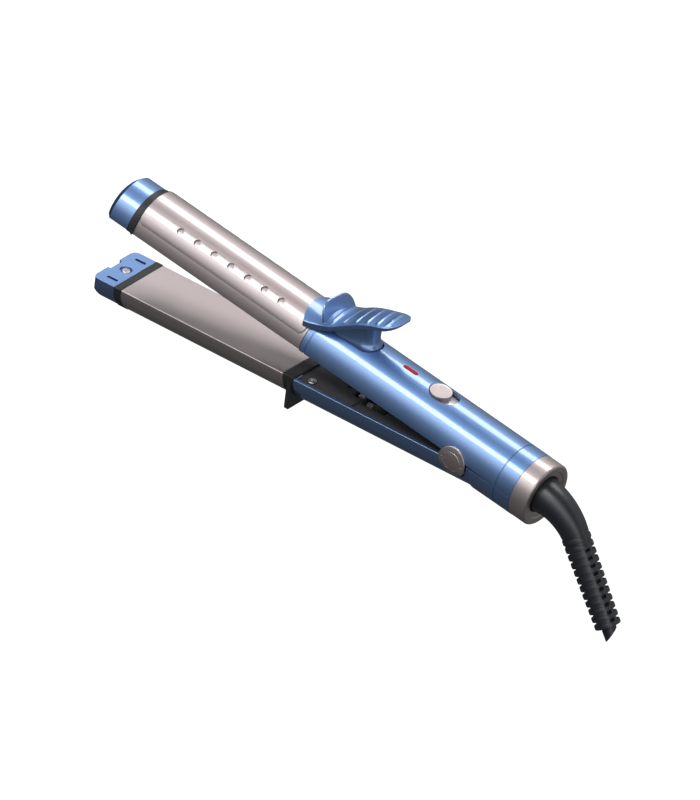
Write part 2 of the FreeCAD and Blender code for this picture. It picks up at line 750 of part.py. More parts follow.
def thumb_lever():
    blade = Part.makeLoft([lever_section_wire(s) for s in lever_sections], True, False)
    plan = outline(
        V(lever_front + 6.0, -16, 0),
        V(lever_tip - 9.0, -16, 0),
        V(lever_tip - 9.0, -10.6, 0),
        (V(lever_tip, 0, 0), V(lever_tip - 9.0, 10.6, 0)),
        V(lever_tip - 9.0, 16, 0),
        V(lever_front + 6.0, 16, 0),
        (V(lever_front, 0, 0), V(lever_front + 6.0, -16, 0)),
    )
    blade = blade.common(extrude(plan, V(0, 0, 60)))
    wall_x = handle_front + thumb_wall_setback
    wall = extrude(outline(
        V(wall_x, -thumb_wall_half, 19.0),
        V(wall_x, -thumb_wall_half, thumb_wall_base),
        (V(wall_x, 0, thumb_wall_top), V(wall_x, thumb_wall_half, thumb_wall_base)),
        V(wall_x, thumb_wall_half, 19.0),
    ), V(thumb_wall_thickness, 0, 0))
    wall.rotate(V(wall_x, 0, thumb_wall_base), V(0, 1, 0), -thumb_wall_lean)
    pedestal = Part.makeLoft([
        stadium(skirt_front + pull * 0.4, skirt_rear - pull, lever_skirt_half - narrow, z)
        for z, narrow, pull in pedestal_sections
    ], True, False)
    under_blade = Part.makeLoft([lever_core_wire(s) for s in lever_sections], True, False)
    pedestal = pedestal.common(under_blade)
    hub = rod_y(3.3, -lever_skirt_half, lever_skirt_half, lever_pivot_x, lever_pivot_height)
    body = join(blade, wall, pedestal, hub)
    over_clamp = rod_x(clamp_radius, handle_front - 20, clamp_rear + small_gap)
    over_handle = rod_x(handle_radius + 0.5, clamp_rear, slot_front)
    bore = rod_y(lever_pin_radius + running_gap, -20, 20, lever_pivot_x, lever_pivot_height)
    rivet_holes = []
    for x, turn in rivet_places:
        angle = math.radians(turn)
        axis = V(0, math.sin(angle), math.cos(angle))
        rivet_holes.append(Part.makeCylinder(1.3, 2.1, V(x, 0, 0) + axis * clamp_inner, axis))
    spring_seat = rod_z(lever_spring_radius + 0.9, 0, lever_skirt_floor + 1.5, lever_pivot_x + lever_spring_setback)
    return less(body, over_clamp, over_handle, bore, spring_seat, *rivet_holes)


def lever_pin():
    return rod_y(lever_pin_radius, -lever_pin_half, lever_pin_half, lever_pivot_x, lever_pivot_height)


def lever_spring():
    return coil_spring(
        lever_pivot_x + lever_spring_setback, cover_top + 0.02, lever_skirt_floor + 1.4, lever_spring_radius, 0.7, 5
    )


# ---------------------------------------------------------------- pivot
def pivot_pin():
    return rod_y(pivot_pin_radius, -16.4, 16.4, pivot_x, pivot_z)


cap_inner = handle_radius + 0.25
cap_outer = handle_radius + pivot_cap_rise


def pivot_cap():
    """Cap on the +Y side: a round cover that follows the curve of the handle, on a hollow stem."""
    skin = less(rod_x(cap_outer, -FAR, FAR), rod_x(cap_inner, -FAR, FAR))
    disc = skin.common(rod_y(pivot_cap_radius, 0, FAR, pivot_x, pivot_z))
    stem = rod_y(pivot_pin_radius + 0.8, 14.9, cap_inner + 0.6, pivot_x, pivot_z)
    bumps = []
    for angle in (205.0, -25.0):
        turn = math.radians(angle)
        x = pivot_x + 6.4 * math.cos(turn)
        z = pivot_z + 6.4 * math.sin(turn)
        bumps.append(rod_y(0.6, cap_inner - 0.1, math.sqrt(cap_outer ** 2 - z ** 2) + 0.35, x, z))
    return less(join(disc, stem, *bumps), rod_y(pivot_pin_radius, 14.0, 16.4, pivot_x, pivot_z))


def arm_spring():
    seat = open_lower(rod_z(arm_spring_radius, tray_well_floor - 1.0, tray_well_floor, spring_x)).BoundBox.ZMax
    return coil_spring(spring_x, seat + 0.05, well_ceiling - 0.02, arm_spring_radius, arm_spring_wire, 4)


# ---------------------------------------------------------------- lower arm, drawn closed
tray_well_floor = -6.0
tray_well_radius = 5.6
tray_screw_places = [
    (handle_front + 7.8, 10.9), (handle_front + 7.8, -10.9), (-74.0, 5.0), (-74.0, -5.0),
]
lower_inner_radius = lower_handle_radius - shell_wall
lock_x = -lock_hook_setback
tray_ear_inner = 12.0
tray_ear_outer = 14.6
tray_ear_radius = 4.6


def lower_handle_shell():
    outer = trough(lower_handle_radius, lower_shell_front, split_x, lower_rim)
    inner = trough(lower_inner_radius, lower_shell_front, split_x, lower_rim + 1)
    shell = less(outer, inner)
    bosses = [rod_z(boss_radius, -handle_radius, tray_bottom, x, y) for x, y in tray_screw_places]
    envelope = trough(lower_handle_radius - shell_wall / 2, lower_shell_front, split_x, lower_rim)
    shell = join(shell, *[boss.common(envelope) for boss in bosses])
    pilots = [rod_z(pilot_radius, -12.0, 0, x, y) for x, y in tray_screw_places]
    cap_clear = less(
        join(*both_sides(rod_y(pivot_cap_radius + 0.5, 5, FAR, pivot_x, pivot_z))),
        rod_x(handle_radius - 0.5, -FAR, FAR),
    )
    cap_clears = [to_lower(cap_clear), to_lower(swing(cap_clear, open_angle))]
    stem_hole = rod_y(pivot_pin_radius + 1.3, -FAR, FAR, pivot_x, low_pivot_z)
    lock_slot = box(lock_stem_front - slide_gap, lock_stem_rear + lock_travel + slide_gap, -2.8, 2.8, -FAR, -12)
    rim_clear = to_lower(swing(box(pivot_x, FAR, -FAR, FAR, seam_height - swing_gap, FAR), open_angle))
    return less(shell, *cap_clears, stem_hole, lock_slot, rim_clear, *pilots)


lock_stem_front = lock_x + 1.0
lock_stem_rear = lock_x + 7.0


def lower_tray():
    half = lower_inner_radius - small_gap
    plate = box(lower_shell_front + 0.2, pivot_x - 7.1, -half, half, tray_bottom, tray_top)
    plate = plate.common(trough(half, lower_shell_front, 0, 0))
    well = rod_z(tray_well_radius + 1.2, tray_well_floor - 1.4, tray_top, spring_x)
    arm = box(pivot_x - 8.0, pivot_x, tray_ear_inner, tray_ear_outer, low_pivot_z - tray_ear_radius, tray_top)
    ear = rod_y(tray_ear_radius, tray_ear_inner, tray_ear_outer, pivot_x, low_pivot_z)
    tray = join(plate, well, *both_sides(arm), *both_sides(ear))
    well_bore = rod_z(tray_well_radius, tray_well_floor, 1, spring_x)
    pin_bore = rod_y(pivot_pin_radius + running_gap, -20, 20, pivot_x, low_pivot_z)
    front_slot = box(lock_x - 3.6, lock_x + 18.4, -5.0, 5.0, tray_bottom - 0.1, 1)
    rear_slot = box(lock_x + 3.6, lock_x + 18.4, -fork_half - 0.6, fork_half + 0.6, tray_bottom - 0.1, 1)
    guide_hole = rod_z(1.5, -FAR, 1, lock_x - 9.0, 0)
    holes = [rod_z(1.4, -FAR, 1, x, y) for x, y in tray_screw_places]
    return less(tray, well_bore, pin_bore, front_slot, rear_slot, guide_hole, *holes)


def tray_screws():
    return [screw(x, y, tray_top + 1.1, tray_top - 9.0, 2.3, pilot_radius) for x, y in tray_screw_places]


def foot_bracket():
    """Black heat break between plate and handle, with the fin that the iron rests on."""
    band = trough(lower_radius - 0.2, bracket_front, lower_shell_front, 0)
    inside = trough(lower_radius - 2.6, bracket_front, lower_shell_front, -2.2)
    plug = trough(lower_radius - barrel_wall - small_gap, bracket_front - 4.0, bracket_front, -plate_thickness)
    plug = less(plug, trough(lower_radius - 4.0, bracket_front - 4.0, bracket_front, -plate_thickness))
    fin_rear = lower_shell_front - fin_setback
    corner = fin_corner * 0.293
    fin = extrude(outline(
        V(fin_rear, -fin_half_width, 0),
        V(fin_rear, -fin_half_width, -fin_depth + fin_corner),
        (V(fin_rear, -fin_half_width + corner, -fin_depth + corner), V(fin_rear, -fin_half_width + fin_corner, -fin_depth)),
        V(fin_rear, fin_half_width - fin_corner, -fin_depth),
        (V(fin_rear, fin_half_width - corner, -fin_depth + corner), V(fin_rear, fin_half_width, -fin_depth + fin_corner)),
        V(fin_rear, fin_half_width, 0),
    ), V(-fin_thickness, 0, 0))
    passage = trough(10.0, bracket_front - 5, lower_shell_front + 1, -4.0)
    return less(join(less(band, inside), plug, fin), passage)


def lower_heating_plate():
    plate = box(plate_front, bracket_front, -lower_radius, lower_radius, -plate_thickness, 0)
    edges = [
        edge for edge in plate.Edges
        if abs(edge.BoundBox.ZMin) < 0.01 and edge.BoundBox.XLength > plate_width
    ]
    return plate.makeFillet(plate_edge_radius, edges)


def lower_plate_shell():
    outer = trough(lower_radius, plate_front, bracket_front, -plate_thickness)
    inner = trough(lower_radius - barrel_wall, plate_front, bracket_front, 0)
    return below(less(outer, inner), -plate_thickness)


def lower_heater():
    return box(
        plate_front + heater_end_gap, bracket_front - heater_end_gap, -9, 9,
        -plate_thickness - heater_height, -plate_thickness,
    )


def lower_insulator_ring():
    ring = trough(lower_radius + 0.3, lower_tip_rear, plate_front, 0)
    plug = below(
        trough(lower_radius - barrel_wall - small_gap, plate_front, plate_front + 3.4, 0), -plate_thickness
    )
    nose = trough(lower_radius - shell_wall - small_gap, lower_tip_rear - 3.2, lower_tip_rear, -2.4)
    passage = trough(10.0, lower_tip_rear - 4, plate_front + 4, -5.0)
    tongue = box(lower_tip_front + tip_screw_setback - 2.1, lower_tip_rear + 0.5, -4, 4, -7.0, -2.4)
    hole = rod_z(pilot_radius, -FAR, 0, lower_tip_front + tip_screw_setback)
    return less(join(less(join(ring, plug, nose), passage), tongue), hole)


def lower_tip_cap():
    solid = trough(lower_radius, lower_tip_front, lower_tip_rear, 0)
    c = lower_tip_corner
    bow = c * 0.2
    plan = outline(
        V(lower_tip_front, -lower_radius + c, -30),
        (
            V(lower_tip_front + bow, -lower_radius + bow, -30),
            V(lower_tip_front + c, -lower_radius, -30),
        ),
        V(lower_tip_rear, -lower_radius, -30),
        V(lower_tip_rear, lower_radius, -30),
        V(lower_tip_front + c, lower_radius, -30),
        (
            V(lower_tip_front + bow, lower_radius - bow, -30),
            V(lower_tip_front, lower_radius - c, -30),
        ),
    )
    cap = solid.common(extrude(plan, V(0, 0, 40)))
    under = extrude(outline(
        V(lower_tip_front - 1, -FAR, -lower_radius - 1),
        V(lower_tip_front - 1, -FAR, -1.0),
        V(lower_tip_front, -FAR, -1.0),
        (V(lower_tip_front + 1.7, -FAR, -10.5), V(lower_tip_front + 6.5, -FAR, -lower_radius)),
        V(lower_tip_front + 6.5, -FAR, -lower_radius - 1),
    ), V(0, 2 * FAR, 0))
    cap = less(cap, under)
    hollow = trough(lower_radius - shell_wall, lower_tip_front + 5.6, lower_tip_rear, -2.2)
    screw_x = lower_tip_front + tip_screw_setback
    notch = extrude(outline(
        V(lower_tip_front - 1, -tip_notch_half - 0.6, -3.0),
        V(lower_tip_front + tip_notch_depth, -tip_notch_half + 0.4, -3.0),
        V(lower_tip_front + tip_notch_depth, tip_notch_half - 0.4, -3.0),
        V(lower_tip_front - 1, tip_notch_half + 0.6, -3.0),
    ), V(0, 0, 4))
    key_y = tip_slot_spacing / 2
    slot = box(
        tip_slot_front(), tip_slot_front() + tip_slot_length, key_y - tip_slot_width / 2, key_y + tip_slot_width / 2,
        -3.0, 1,
    )
    holes = [rod_z(1.4, -4, 1, screw_x), rod_z(tip_recess_radius, -1.4, 1, screw_x)]
    return less(cap, hollow, notch, *both_sides(slot), *holes)


def lower_tip_screw():
    return screw(lower_tip_front + tip_screw_setback, 0, -0.25, -6.6, 2.6, pilot_radius)


def hook(x, y0, y1):
    """Upright hook of the lock; its nose points back."""
    stem = box(x - hook_thickness / 2, x + hook_thickness / 2, y0, y1, lock_bar_top - 1.0, tray_top - 0.2)
    nose = box(
        x, x + hook_thickness / 2 + hook_nose, y0, y1, tray_top - 1.8, tray_top - 0.2
    )
    return join(stem, nose)


lock_bar_top = -6.4


pad_top = -lower_handle_radius - slide_gap
pad_bottom = pad_top - 0.9
pad_half = 3.6


def lock_slider():
    bar = box(lock_x - 5.0, lock_x + 14.0, -fork_half, fork_half, lock_bar_top - 2.0, lock_bar_top)
    front_hook = hook(lock_x, -front_hook_half, front_hook_half)
    fork = both_sides(hook(lock_x + lock_hook_pitch, fork_inner, fork_half))
    stem = box(lock_stem_front, lock_stem_rear, -2.5, 2.5, pad_top - 0.2, lock_bar_top - 2.0)
    pad = box(lock_x - 2.0, lock_x + 10.0, -pad_half, pad_half, pad_bottom, pad_top)
    grips = [box(lock_x + x, lock_x + x + 1.0, -pad_half, pad_half, pad_bottom - 0.4, pad_bottom) for x in (0.0, 2.6, 5.2, 7.8)]
    return join(bar, front_hook, *fork, stem, pad, *grips)


# ---------------------------------------------------------------- strain relief
relief_start = ring_length + small_gap
bend = math.radians(relief_bend_angle)
bend_end = V(
    relief_start + relief_bend_radius * math.sin(bend), 0, -relief_bend_radius * (1 - math.cos(bend))
)
relief_axis = V(math.cos(bend), 0, -math.sin(bend))
ribbed_length = first_rib + (rib_count - 1) * rib_pitch + rib_width / 2
tail_end = ribbed_length + relief_tail_length
BEND_STATIONS = 7


def bend_circle(turn, radius):
    centre = V(relief_start + relief_bend_radius * math.sin(turn), 0, -relief_bend_radius * (1 - math.cos(turn)))
    return Part.Wire(Part.makeCircle(radius, centre, V(math.cos(turn), 0, -math.sin(turn))))


def along_relief(shape):
    """Moves a shape drawn along +X from the origin to the straight, ribbed stretch."""
    placed = shape.copy()
    placed.rotate(V(0, 0, 0), V(0, 1, 0), relief_bend_angle)
    placed.translate(bend_end)
    return placed


def strain_relief():
    turns = [bend * n / (BEND_STATIONS - 1) for n in range(BEND_STATIONS)]
    slim = relief_neck_radius - relief_end_radius
    curve = Part.makeLoft([bend_circle(t, relief_neck_radius - slim * t / bend) for t in turns], True, False)
    passage = Part.makeLoft([bend_circle(t, cord_radius) for t in turns], True, False)
    neck = join(rod_x(swivel_pocket_radius - slide_gap, -3.6, ring_shoulder - slide_gap), rod_x(relief_neck_radius, -3.6, relief_start))
    slim_end = 3.2 * rib_pitch
    core = turned(
        V(0, 0, 0),
        V(0, 0, relief_end_radius),
        V(slim_end, 0, relief_core_radius),
        V(ribbed_length - rib_width, 0, relief_core_radius),
        V(ribbed_length, 0, relief_tail_radius),
        V(tail_end + 6, 0, relief_tail_radius),
        V(tail_end + 6, 0, 0),
    )
    ribs = []
    for n in range(rib_count):
        middle = first_rib + n * rib_pitch
        radius = rib_radius + (rib_radius_last - rib_radius) * n / (rib_count - 1)
        ribs.append(rod_x(radius, middle - rib_width / 2, middle + rib_width / 2))
    windows = []
    for n in range(2, rib_count - 1):
        gap_middle = first_rib + (n + 0.5) * rib_pitch
        half = (rib_pitch - rib_width) / 2
        for side in (0, 180):
            window = box(gap_middle - half, gap_middle + half, -0.9, 0.9, cord_radius + 0.9, 12)
            window.rotate(V(0, 0, 0), V(1, 0, 0), 16 + side)
            windows.append(window)
    straight = along_relief(less(join(core, *ribs), *windows, rod_x(cord_radius, -1, tail_end + 7)))
    end_x = bend_end.x + relief_axis.x * tail_end
    straight = less(straight, box(end_x, FAR, -FAR, FAR, -FAR, FAR))
    head = less(join(neck, curve), rod_x(cord_radius, -4, relief_start), passage)
    return join(head, straight)


# ---------------------------------------------------------------- assembly
upper = {
    "upper_handle_shell": upper_handle_shell(),
    "rear_lower_shell": rear_lower_shell(),
    "end_ring": end_ring(),
    "swivel_retainer": swivel_retainer(),
    "swivel_terminal": swivel_terminal(),
    "upper_inner_cover": upper_inner_cover(),
    "barrel_holder": barrel_holder(),
    "circuit_board": circuit_board(),
    "power_led": power_led(),
    "indicator_lens": indicator_lens(),
    "slide_switch": slide_switch(),
    "slide_button": slide_button(),
    "cover_screws": cover_screws(),
    "rear_shell_screws": rear_shell_screws(),
    "power_leads": power_leads(),
    "heater_leads": heater_leads(),
    "barrel": barrel(),
    "upper_heating_plate": upper_heating_plate(),
    "upper_heater": upper_heater(),
    "heat_spreader": heat_spreader(),
    "thermal_fuse": thermal_fuse(),
    "upper_insulator_ring": upper_insulator_ring(),
    "upper_tip_cap": upper_tip_cap(),
    "upper_tip_screw": upper_tip_screw(),
    "clamp_plate": clamp_plate(),
    "clamp_rivets": clamp_rivets(),
    "thumb_lever": thumb_lever(),
    "lever_pin": lever_pin(),
    "lever_spring": lever_spring(),
    "pivot_pin": pivot_pin(),
    "left_pivot_cap": pivot_cap(),
    "right_pivot_cap": mirrored(pivot_cap()),
    "arm_spring": arm_spring(),
    "strain_relief": strain_relief(),
}
lower = {
    "lower_handle_shell": lower_handle_shell(),
    "lower_tray": lower_tray(),
    "tray_screws": tray_screws(),
    "foot_bracket": foot_bracket(),
    "lower_heating_plate": lower_heating_plate(),
    "lower_plate_shell": lower_plate_shell(),
    "lower_heater": lower_heater(),
    "lower_insulator_ring": lower_insulator_ring(),
    "lower_tip_cap": lower_tip_cap(),
    "lower_tip_screw": lower_tip_screw(),
    "lock_slider": lock_slider(),
}


def as_shape(piece):
    return Part.makeCompound(piece) if isinstance(piece, list) else piece


nodes = {name: as_shape(piece) for name, piece in upper.items()}
nodes.update({name: open_lower(as_shape(piece)) for name, piece in lower.items()})

# The row's origin is the middle of the whole iron in plan, at the level of its lowest point.
whole = FreeCAD.BoundBox()
for shape in nodes.values():
    whole.add(shape.optimalBoundingBox())
shift = V(-(whole.XMin + whole.XMax) / 2, -(whole.YMin + whole.YMax) / 2, -whole.ZMin)

os.makedirs("parts", exist_ok=True)
for name, shape in nodes.items():
    placed = shape.copy()
    placed.translate(shift)
    placed.exportStep("parts/" + name + ".step")
    solids = placed.Solids
    print(name, "solids", len(solids), "valid", placed.isValid(), "volume", round(placed.Volume, 1))

print("size", round(whole.XLength, 2), round(whole.YLength, 2), round(whole.ZLength, 2))
places = {
    "shift": shift,
    "pivot": V(pivot_x, 0, pivot_z) + shift,
    "lever pivot": V(lever_pivot_x, 0, lever_pivot_height) + shift,
    "swivel axis": V(0, 0, 0) + shift,
    "spring seat": V(0, 0, cover_top) + shift,
    "arm spring seat": V(0, 0, well_ceiling) + shift,
    "relief axis start": bend_end + shift,
    "relief direction": relief_axis,
}
for label, place in places.items():
    print(label, round(place.x, 4), round(place.y, 4), round(place.z, 4))
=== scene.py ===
# %% [markdown]
# # A two-in-one hair iron
# The iron has two arms on one pivot. The upper arm is a round handle with a half-round curling
# barrel ahead of it; a vented clamp plate lies on the barrel and a thumb lever lifts it. The lower
# arm carries a flat heating plate that meets a second one under the barrel. The measured model is
# loaded first, as a frame that is never changed, and each visible piece is then modelled over it.

# %% Load the frame
import json
import math
import bmesh
import bpy
from mathutils import Matrix, Quaternion, Vector


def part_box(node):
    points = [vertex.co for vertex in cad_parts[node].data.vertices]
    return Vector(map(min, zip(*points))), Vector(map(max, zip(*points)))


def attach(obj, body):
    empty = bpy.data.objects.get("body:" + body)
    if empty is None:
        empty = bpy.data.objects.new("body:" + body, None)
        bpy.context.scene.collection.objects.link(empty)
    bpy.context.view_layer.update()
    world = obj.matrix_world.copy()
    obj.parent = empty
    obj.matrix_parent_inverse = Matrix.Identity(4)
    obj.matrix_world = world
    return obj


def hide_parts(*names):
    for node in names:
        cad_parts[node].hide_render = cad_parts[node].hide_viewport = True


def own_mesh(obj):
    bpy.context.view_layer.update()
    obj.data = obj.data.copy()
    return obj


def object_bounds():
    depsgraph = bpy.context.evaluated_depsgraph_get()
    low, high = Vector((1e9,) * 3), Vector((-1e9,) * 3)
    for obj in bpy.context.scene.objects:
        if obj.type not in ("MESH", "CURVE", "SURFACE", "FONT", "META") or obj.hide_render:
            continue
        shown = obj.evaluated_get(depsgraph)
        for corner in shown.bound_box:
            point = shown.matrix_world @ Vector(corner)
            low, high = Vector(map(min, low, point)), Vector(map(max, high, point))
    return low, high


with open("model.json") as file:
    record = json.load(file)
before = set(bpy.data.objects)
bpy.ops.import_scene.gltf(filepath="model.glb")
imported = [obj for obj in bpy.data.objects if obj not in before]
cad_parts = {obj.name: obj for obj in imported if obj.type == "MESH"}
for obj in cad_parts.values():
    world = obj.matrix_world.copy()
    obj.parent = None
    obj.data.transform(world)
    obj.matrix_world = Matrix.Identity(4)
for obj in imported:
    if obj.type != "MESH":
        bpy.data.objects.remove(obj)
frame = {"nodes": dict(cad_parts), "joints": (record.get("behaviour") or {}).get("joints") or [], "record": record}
cad_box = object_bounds()
joints = {joint["name"]: joint for joint in frame["joints"]}

# %% [markdown]
# ## Places on the iron
# The cord turns about the handle's axis, so that joint's place is the middle of the handle's rear
# face. Everything is laid out from there in millimetres: X towards the cord, Z up through the
# thumb lever. The lower arm is easier to draw shut, with its plate's face as height nought, and to
# swing open afterwards, so its pivot and opening angle come from the measured joint.

# %% Home, pivot and the millimetre helper
MM = 0.001
home = Vector(joints["cord_swivel"]["pos_m"])
pivot = Vector(joints["arm_close"]["pos_m"])
open_angle = math.radians(joints["arm_close"]["range_deg"][1])
plate_drop = 0.9                      # the shut plate's face lies this far under the handle's axis


def here(x, y, z):
    """A place in millimetres from the middle of the handle's rear face."""
    return home + Vector((x, y, z)) * MM


handle_radius = 17.5
handle_front = round((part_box("upper_handle_shell")[0].x - home.x) / MM, 2)
barrel_rear = round((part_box("barrel")[1].x - home.x) / MM, 2)
barrel_front = round((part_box("barrel")[0].x - home.x) / MM, 2)
pivot_x, pivot_z = [(pivot[axis] - home[axis]) / MM for axis in (0, 2)]
print("handle front", handle_front, "barrel", barrel_front, "to", barrel_rear)

# %% [markdown]
# ## The camera
# The iron is seen from its cord end, from above and a little to one side, with a long lens, so a
# camera without perspective suits it. Its direction is given by three angles: how far round it
# stands, how high, and how much it is rolled. It aims at a point ahead of the handle.

# %% Camera
azimuth, elevation, roll = math.radians(29.364), math.radians(36.775), math.radians(16.087)
back = Vector((
    math.sin(azimuth) * math.cos(elevation), -math.cos(azimuth) * math.cos(elevation), math.sin(elevation)
))
bpy.ops.object.camera_add(location=here(-90.85, -39.84, 12.56) + back)
camera = bpy.context.object
camera.name = "studio_camera"
camera.rotation_euler = ((-back).to_track_quat("-Z", "Y") @ Quaternion((0, 0, 1), roll)).to_euler()
camera.data.type = "ORTHO"
camera.data.ortho_scale = 0.4
camera.data.clip_start = 0.05
camera.data.clip_end = 20
bpy.context.scene.camera = camera
print("camera at", [round(value, 3) for value in camera.location])

# %% [markdown]
# ## Floor
# A pale floor lies under the iron's lowest point. It glows a little, as a lit white table does, so
# hardly any shadow shows on it, and it is kept out of mirror reflections, as a black card would do.


# %% Setting a node's values
def with_values(node, values):
    """Sets a shader node's sockets by name."""
    for socket, value in values.items():
        node.inputs[socket].default_value = value
    return node


# %% The floor and its paper
bpy.ops.mesh.primitive_grid_add(x_subdivisions=8, y_subdivisions=8, size=12, location=(0, 0, -0.0002))
floor = bpy.context.object
floor.name = "studio_floor"
bpy.ops.object.transform_apply()
floor.visible_glossy = False
floor.visible_diffuse = False
paper = bpy.data.materials.new("floor_paper")
paper.use_nodes = True
nodes, links = paper.node_tree.nodes, paper.node_tree.links
paper_shader = with_values(nodes["Principled BSDF"], {
    "Base Color": (0.3, 0.3, 0.3, 1), "Roughness": 0.9,
    "Emission Color": (1, 1, 1, 1), "Emission Strength": 0.93,
})
paper_place = nodes.new("ShaderNodeTexCoord")
paper_grain = with_values(nodes.new("ShaderNodeTexNoise"), {"Scale": 900})
paper_bump = with_values(nodes.new("ShaderNodeBump"), {"Strength": 0.02})
links.new(paper_place.outputs["Object"], paper_grain.inputs["Vector"])
links.new(paper_grain.outputs["Fac"], paper_bump.inputs["Height"])
links.new(paper_bump.outputs["Normal"], paper_shader.inputs["Normal"])
floor.data.materials.append(paper)
print("floor at", round(floor.data.vertices[0].co.z, 5))

# %% [markdown]
# ## Lights and room
# Two long soft boxes, one beyond the iron and one on the near side, give the two bright streaks that
# run along the round handle. The room is shaded in bands round the iron's length: dim straight
# overhead, soft on both sides and dark below, which turns the undersides dark. Its end beyond the
# tips is dark too, so that the lever's blade and the tips' bevels stay deep in colour. The plain
# Standard tones keep the white of the floor white and the lacquers strong.


# %% Lights
def soft_box(name, direction, wide, power, distance=1.5, long=1.6):
    """A rectangular studio light that hangs in a direction from the iron and faces it."""
    direction = Vector(direction).normalized()
    centre = (cad_box[0] + cad_box[1]) / 2
    bpy.ops.object.light_add(type="AREA", location=centre + direction * distance)
    light = bpy.context.object
    light.name = name
    across = direction.cross(Vector((1, 0, 0))).normalized()
    along = across.cross(direction)
    light.rotation_euler = Matrix((along, across, direction)).transposed().to_euler()
    light.data.shape = "RECTANGLE"
    light.data.size = long
    light.data.size_y = wide
    light.data.energy = power


soft_box("far_soft_box", (-0.393, 0.519, 0.759), wide=0.54, power=9.4)
soft_box("near_soft_box", (-0.393, -0.488, 0.780), wide=0.40, power=8.4)

# %% Room
room = bpy.data.worlds.new("dim_room")
bpy.context.scene.world = room
room.use_nodes = True
nodes, links = room.node_tree.nodes, room.node_tree.links
direction = nodes.new("ShaderNodeTexCoord")
parts = nodes.new("ShaderNodeSeparateXYZ")
turn = nodes.new("ShaderNodeMath")
turn.operation = "ARCTAN2"
whole_turn = with_values(nodes.new("ShaderNodeMapRange"), {"From Min": -math.pi, "From Max": math.pi})
room_shades = nodes.new("ShaderNodeValToRGB")
links.new(direction.outputs["Generated"], parts.inputs["Vector"])
links.new(parts.outputs["Y"], turn.inputs[0])
links.new(parts.outputs["Z"], turn.inputs[1])
links.new(turn.outputs["Value"], whole_turn.inputs["Value"])
links.new(whole_turn.outputs["Result"], room_shades.inputs["Fac"])
links.new(room_shades.outputs["Color"], nodes["Background"].inputs["Color"])
# degrees round from straight up towards the near side, brightness of the room there
room_walls = [
    (-160, 0.05), (-125, 0.12), (-95, 0.22), (-70, 0.32), (-52, 0.46), (-40, 0.50), (-20, 0.34), (-5, 0.07),
    (18, 0.05), (34, 1.2), (50, 1.45), (62, 0.80), (76, 0.20), (115, 0.06), (160, 0.06),
]
shades = room_shades.color_ramp.elements
for shade in shades:
    shade.color = (0.05, 0.05, 0.051, 1)
for degrees, brightness in room_walls:
    shade = shades.new(0.5 - degrees / 360)
    shade.color = (brightness * 0.985, brightness, brightness * 1.01, 1)
# the room's strength falls to a fourteenth where a direction points far towards the tips
dark_end = nodes.new("ShaderNodeMapRange")
dark_end.interpolation_type = "SMOOTHSTEP"
with_values(dark_end, {"From Min": -0.74, "From Max": -0.56, "To Min": 0.07})
links.new(parts.outputs["X"], dark_end.inputs["Value"])
links.new(dark_end.outputs["Result"], nodes["Background"].inputs["Strength"])
print("room made with", len(shades), "shades")

# %% Picture tones
bpy.context.scene.view_settings.view_transform = "Standard"
print("tones", bpy.context.scene.view_settings.view_transform)

# %% [markdown]
# ## Finishes
# Every finish is a small network on one shader. Fine noise on the object's own coordinates varies
# the colour and the gloss a little, as real lacquer, rubber and moulded plastic do, and a second
# noise feeds a bump for flakes, grain or brush marks. A number that is the same everywhere sits on
# the shader's own socket. One helper wires the shared part, and each finish adds its own values.


# %% The finish helper
def finish(name, colour, second, rough, rough_spread, grain, bump, stretch=(1, 1, 1), sockets=None):
    """A shader whose colour and gloss drift between two values, with a fine bump of its own grain."""
    material = bpy.data.materials.new(name)
    material.use_nodes = True
    nodes, links = material.node_tree.nodes, material.node_tree.links
    shader = with_values(nodes["Principled BSDF"], sockets or {})
    place = nodes.new("ShaderNodeTexCoord")
    mapping = with_values(nodes.new("ShaderNodeMapping"), {"Scale": stretch})
    drift = with_values(nodes.new("ShaderNodeTexNoise"), {"Scale": 60, "Detail": 4})
    fine = with_values(nodes.new("ShaderNodeTexNoise"), {"Scale": grain, "Detail": 3})
    links.new(place.outputs["Object"], mapping.inputs["Vector"])
    links.new(place.outputs["Object"], drift.inputs["Vector"])
    links.new(mapping.outputs["Vector"], fine.inputs["Vector"])
    tint = nodes.new("ShaderNodeMix")
    tint.data_type = "RGBA"
    with_values(tint, {"A": (*colour, 1), "B": (*second, 1)})
    links.new(drift.outputs["Fac"], tint.inputs["Factor"])
    links.new(tint.outputs["Result"], shader.inputs["Base Color"])
    gloss = with_values(nodes.new("ShaderNodeMapRange"), {
        "To Min": rough - rough_spread, "To Max": rough + rough_spread,
    })
    links.new(drift.outputs["Fac"], gloss.inputs["Value"])
    links.new(gloss.outputs["Result"], shader.inputs["Roughness"])
    relief = with_values(nodes.new("ShaderNodeBump"), {"Strength": bump, "Distance": 0.0002})
    links.new(fine.outputs["Fac"], relief.inputs["Height"])
    links.new(relief.outputs["Normal"], shader.inputs["Normal"])
    return material


# %% [markdown]
# ### Lacquers
# The handle is metallic blue lacquer under a clear coat: a rough coloured metal base gives the
# broad deep sheen, and a thick glossy coat gives the white core of each streak. The barrel, clamp
# and plates have a champagne coating, which is the same idea with a lighter, almost neutral base.

# %% Lacquers
finishes = {}
clear_coat = {"Coat Weight": 1.0, "Coat Roughness": 0.12, "Coat IOR": 2.0}
finishes["blue"] = finish(
    "blue_lacquer", (0.175, 0.325, 0.645), (0.20, 0.365, 0.71), 0.46, 0.03, 5200, 0.012,
    sockets={"Metallic": 0.9, **clear_coat},
)
finishes["champagne"] = finish(
    "champagne_coating", (0.555, 0.472, 0.468), (0.595, 0.51, 0.506), 0.48, 0.03, 4200, 0.02,
    sockets={"Metallic": 0.88, **clear_coat},
)
print("lacquers", *finishes)

